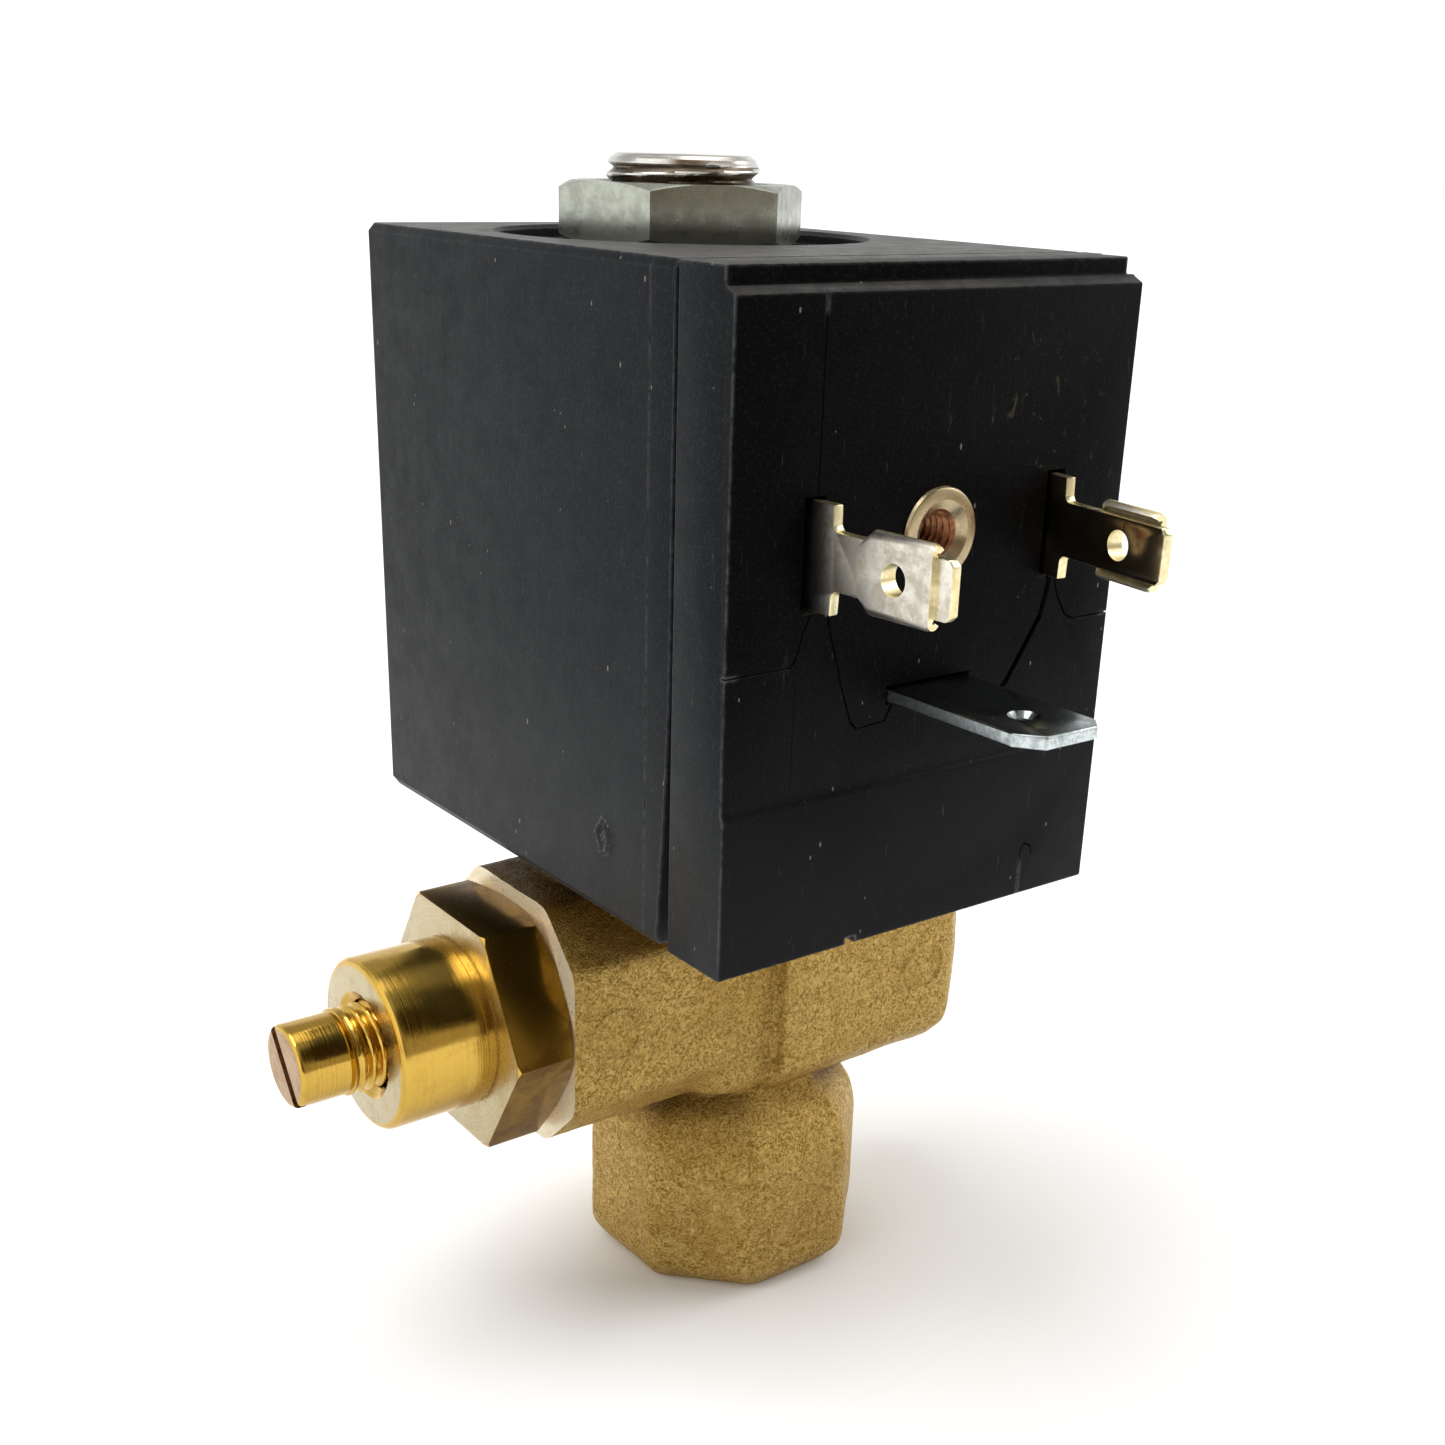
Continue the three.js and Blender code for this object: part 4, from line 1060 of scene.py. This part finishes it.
def folded_wing(t):
    """The second leaf: wider than the blade, its upper and lower edges rolled in round it."""
    thick, half, neck = 0.40, 1.78, 1.45
    start, full, stop = -3.8, -4.7, -9.1
    curl = 0.33
    shares = ((start, 0.0), ((start + full) / 2, 0.5), (full, 1.0), (stop + 0.3, 1.0), (stop, 0.9))
    loops = []
    for y, share in shares:
        reach = neck - 0.2 + (half - neck + 0.2) * share
        roll = curl * share + 0.02
        middle = t + thick - roll * 1.4
        outer = [(t + thick, 0.0), (t + thick, reach)]
        outer += arc((middle, reach), roll * 1.4, 0, 150, 6)
        inner = arc((middle, reach), roll * 0.35, 150, 0, 4)
        section = outer + inner + [(t - 0.02, reach - 0.05), (t - 0.02, 0.0)]
        section += [(x, -z) for x, z in reversed(section[1:-1])]
        loops.append([Vector((x, y, z)) for x, z in section])
    return loft("wing", loops, TINNED)


def add_earth_tab():
    half, top, bottom = 3.1, earth_high.z, earth_low.z
    tip = earth_low.y
    outline = [
        (TUBE_X - half, -15.2), (TUBE_X - half, FRONT_Y), (TUBE_X - half + 0.15, tip + 1.5),
        (TUBE_X - half + 1.35, tip), (TUBE_X + half - 0.9, tip), (TUBE_X + half - 0.1, tip + 0.9),
        (TUBE_X + half, FRONT_Y), (TUBE_X + half, -15.2),
    ]
    tab = prism("earth", outline, bottom, top, Z, EARTH_ZINC)
    soften(tab, 0.14, 3)
    dimple = [
        (0, top - 0.42), (0.55, top - 0.34), (0.85, top - 0.1), (0.95, top + 0.01),
        (0.95, top + 1), (0, top + 1),
    ]
    place = (Z, (TUBE_X, FRONT_Y - 7.8, 0))
    combine(tab, "DIFFERENCE", revolve("dimple", dimple, place, EARTH_ZINC, 40))
    paint_sheet_edges(tab, BRIGHT_EDGE, Z, 0.6)
    finish_piece(tab, "earth_contact", "coil", ["earth_tab"], smooth=30)


def add_insert():
    """The brass insert for the plug's screw: a chamfered eye, with knurling round its sunk part."""
    mouth = FRONT_Y - 0.28
    deep = insert_high.y
    teeth = 30
    knurl_from = FRONT_Y + 0.5

    def relief(along, angle):
        sunk = knurl_from <= along <= deep - 0.2
        return -0.12 * abs(math.sin(teeth * angle / 2)) if sunk else 0.0

    outside = [
        (0, mouth), (1.85, mouth), (2.45, mouth), (2.62, mouth + 0.08), (2.7, mouth + 0.25),
        (2.7, knurl_from), (2.7, deep - 0.3), (2.5, deep), (0, deep),
    ]
    ring = revolve("insert", outside, INSERT_LINE, INSERT, 120, relief)
    pitch = 0.5
    stop = FRONT_Y + 3.4
    rows = [(0, mouth + 0.2), (1.38, mouth + 0.2), (1.38, mouth + 0.4)]
    rows += rows_between(1.32, mouth + 0.5, stop, pitch / 8)
    rows += [(1.2, stop + 0.3), (0, stop + 0.6)]
    thread = screw_thread(pitch, -0.27, mouth + 0.45, stop + 0.01, 0.6)
    hole = revolve("hole", rows, INSERT_LINE, THREAD_DARK, 48, thread)
    bevel_rows = [
        (0, mouth - 1), (1.95, mouth - 1), (1.95, mouth), (1.38, mouth + 0.4), (0, mouth + 0.4),
    ]
    bevel = revolve("bevel", bevel_rows, INSERT_LINE, INSERT)
    combine(ring, "DIFFERENCE", hole, bevel)
    finish_piece(ring, "insert", "coil", ["screw_insert"], smooth=30)


# ---- CAD nodes that keep their shape ----
KEPT = {
    STAINLESS: ["armature_tube", "plunger"],
    ZINC: ["tube_nut"],
    RUBBER: ["tube_o_ring", "plunger_seal", "bonnet_o_ring", "needle_o_ring", "coil_gasket"],
    IRON: ["spring_washer", "yoke_frame", "yoke_strap"],
    NYLON: ["bobbin"],
    COPPER: ["shading_ring", "winding", "start_lead", "finish_lead"],
}


def dress_kept_nodes():
    for material, nodes in KEPT.items():
        for node in nodes:
            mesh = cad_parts[node].data
            mesh.materials.clear()
            mesh.materials.append(material)
            mesh.shade_smooth()
            mesh.set_sharp_from_angle(angle=math.radians(30))


# ---- Stage ----
def add_stage():
    """A white floor, just under the valve."""
    size, level = 4.0, -0.0002  # metres
    corners = ((-size, -size), (size, -size), (size, size), (-size, size))
    floor = solid_from("floor", [(*corner, level) for corner in corners], [(0, 1, 2, 3)])
    s = Shader("floor", Specular_IOR_Level=0.1)
    floor.data.materials.append(s.finish((0.94, 0.95, 0.965, 1), 0.9))


def add_sun(towards, strength, spread):
    """A large soft light: towards points from the valve to the light, and spread is in degrees."""
    data = bpy.data.lights.new("sun", "SUN")
    data.energy = strength
    data.angle = math.radians(spread)
    light = bpy.data.objects.new("sun", data)
    light.rotation_euler = Vector(towards).to_track_quat("Z", "Y").to_euler()
    bpy.context.scene.collection.objects.link(light)


ROOM_TONES = (  # its middle, cosines from there where it starts and where it is full, colour
    ((0, 0, 1), 0.32, 0.60, (0.50, 0.49, 0.47)),  # ceiling
    ((0.35, -0.94, 0.05), 0.45, 0.90, (0.55, 0.50, 0.43)),  # in front of the valve
    ((-0.60, -0.78, 0.05), 0.62, 0.93, (0.16, 0.10, 0.05)),  # towards the viewer
    ((0.44, -0.64, 0.62), 0.885, 0.935, (0.04, 0.027, 0.015)),  # a dark patch, high up
    ((-0.97, 0.10, 0.15), 0.60, 0.90, (1.5, 1.48, 1.42)),  # left
    ((0.42, 0.12, 0.90), 0.935, 0.965, (2.2, 2.1, 1.9)),  # a bright patch, overhead
)


def add_world():
    """A white room with darker and brighter sides. The camera itself sees plain white."""
    world = bpy.data.worlds.new("room")
    bpy.context.scene.world = world
    world.use_nodes = True
    n = Nodes(world.node_tree)
    way = n.node("ShaderNodeTexCoord").outputs["Generated"]
    white = room = (1, 1, 1)
    for middle, low, high, colour in ROOM_TONES:
        near = n.dot(way, Vector(middle).normalized())
        room = n.mix(n.band(near, low, high), room, colour)
    seen = n.mix(n.node("ShaderNodeLightPath").outputs["Is Camera Ray"], room, white)
    background = n.node("ShaderNodeBackground", {"Color": seen})
    n.node("ShaderNodeOutputWorld", {0: background.outputs[0]})


add_valve_body()
add_bonnet()
add_needle()
add_core()
add_return_spring()
add_nut()
add_housing()
add_block()
add_power_tab("left_contact", "power_tab_left", -1, lean_degrees=4)
add_power_tab("right_contact", "power_tab_right", 1, lean_degrees=7.5)
add_earth_tab()
add_insert()
dress_kept_nodes()
add_stage()
add_world()
add_sun((-0.38, 0.12, 0.92), strength=1.7, spread=40)
add_sun((0.78, -0.34, 0.52), strength=1.2, spread=40)
bpy.context.scene.view_settings.view_transform = "Standard"
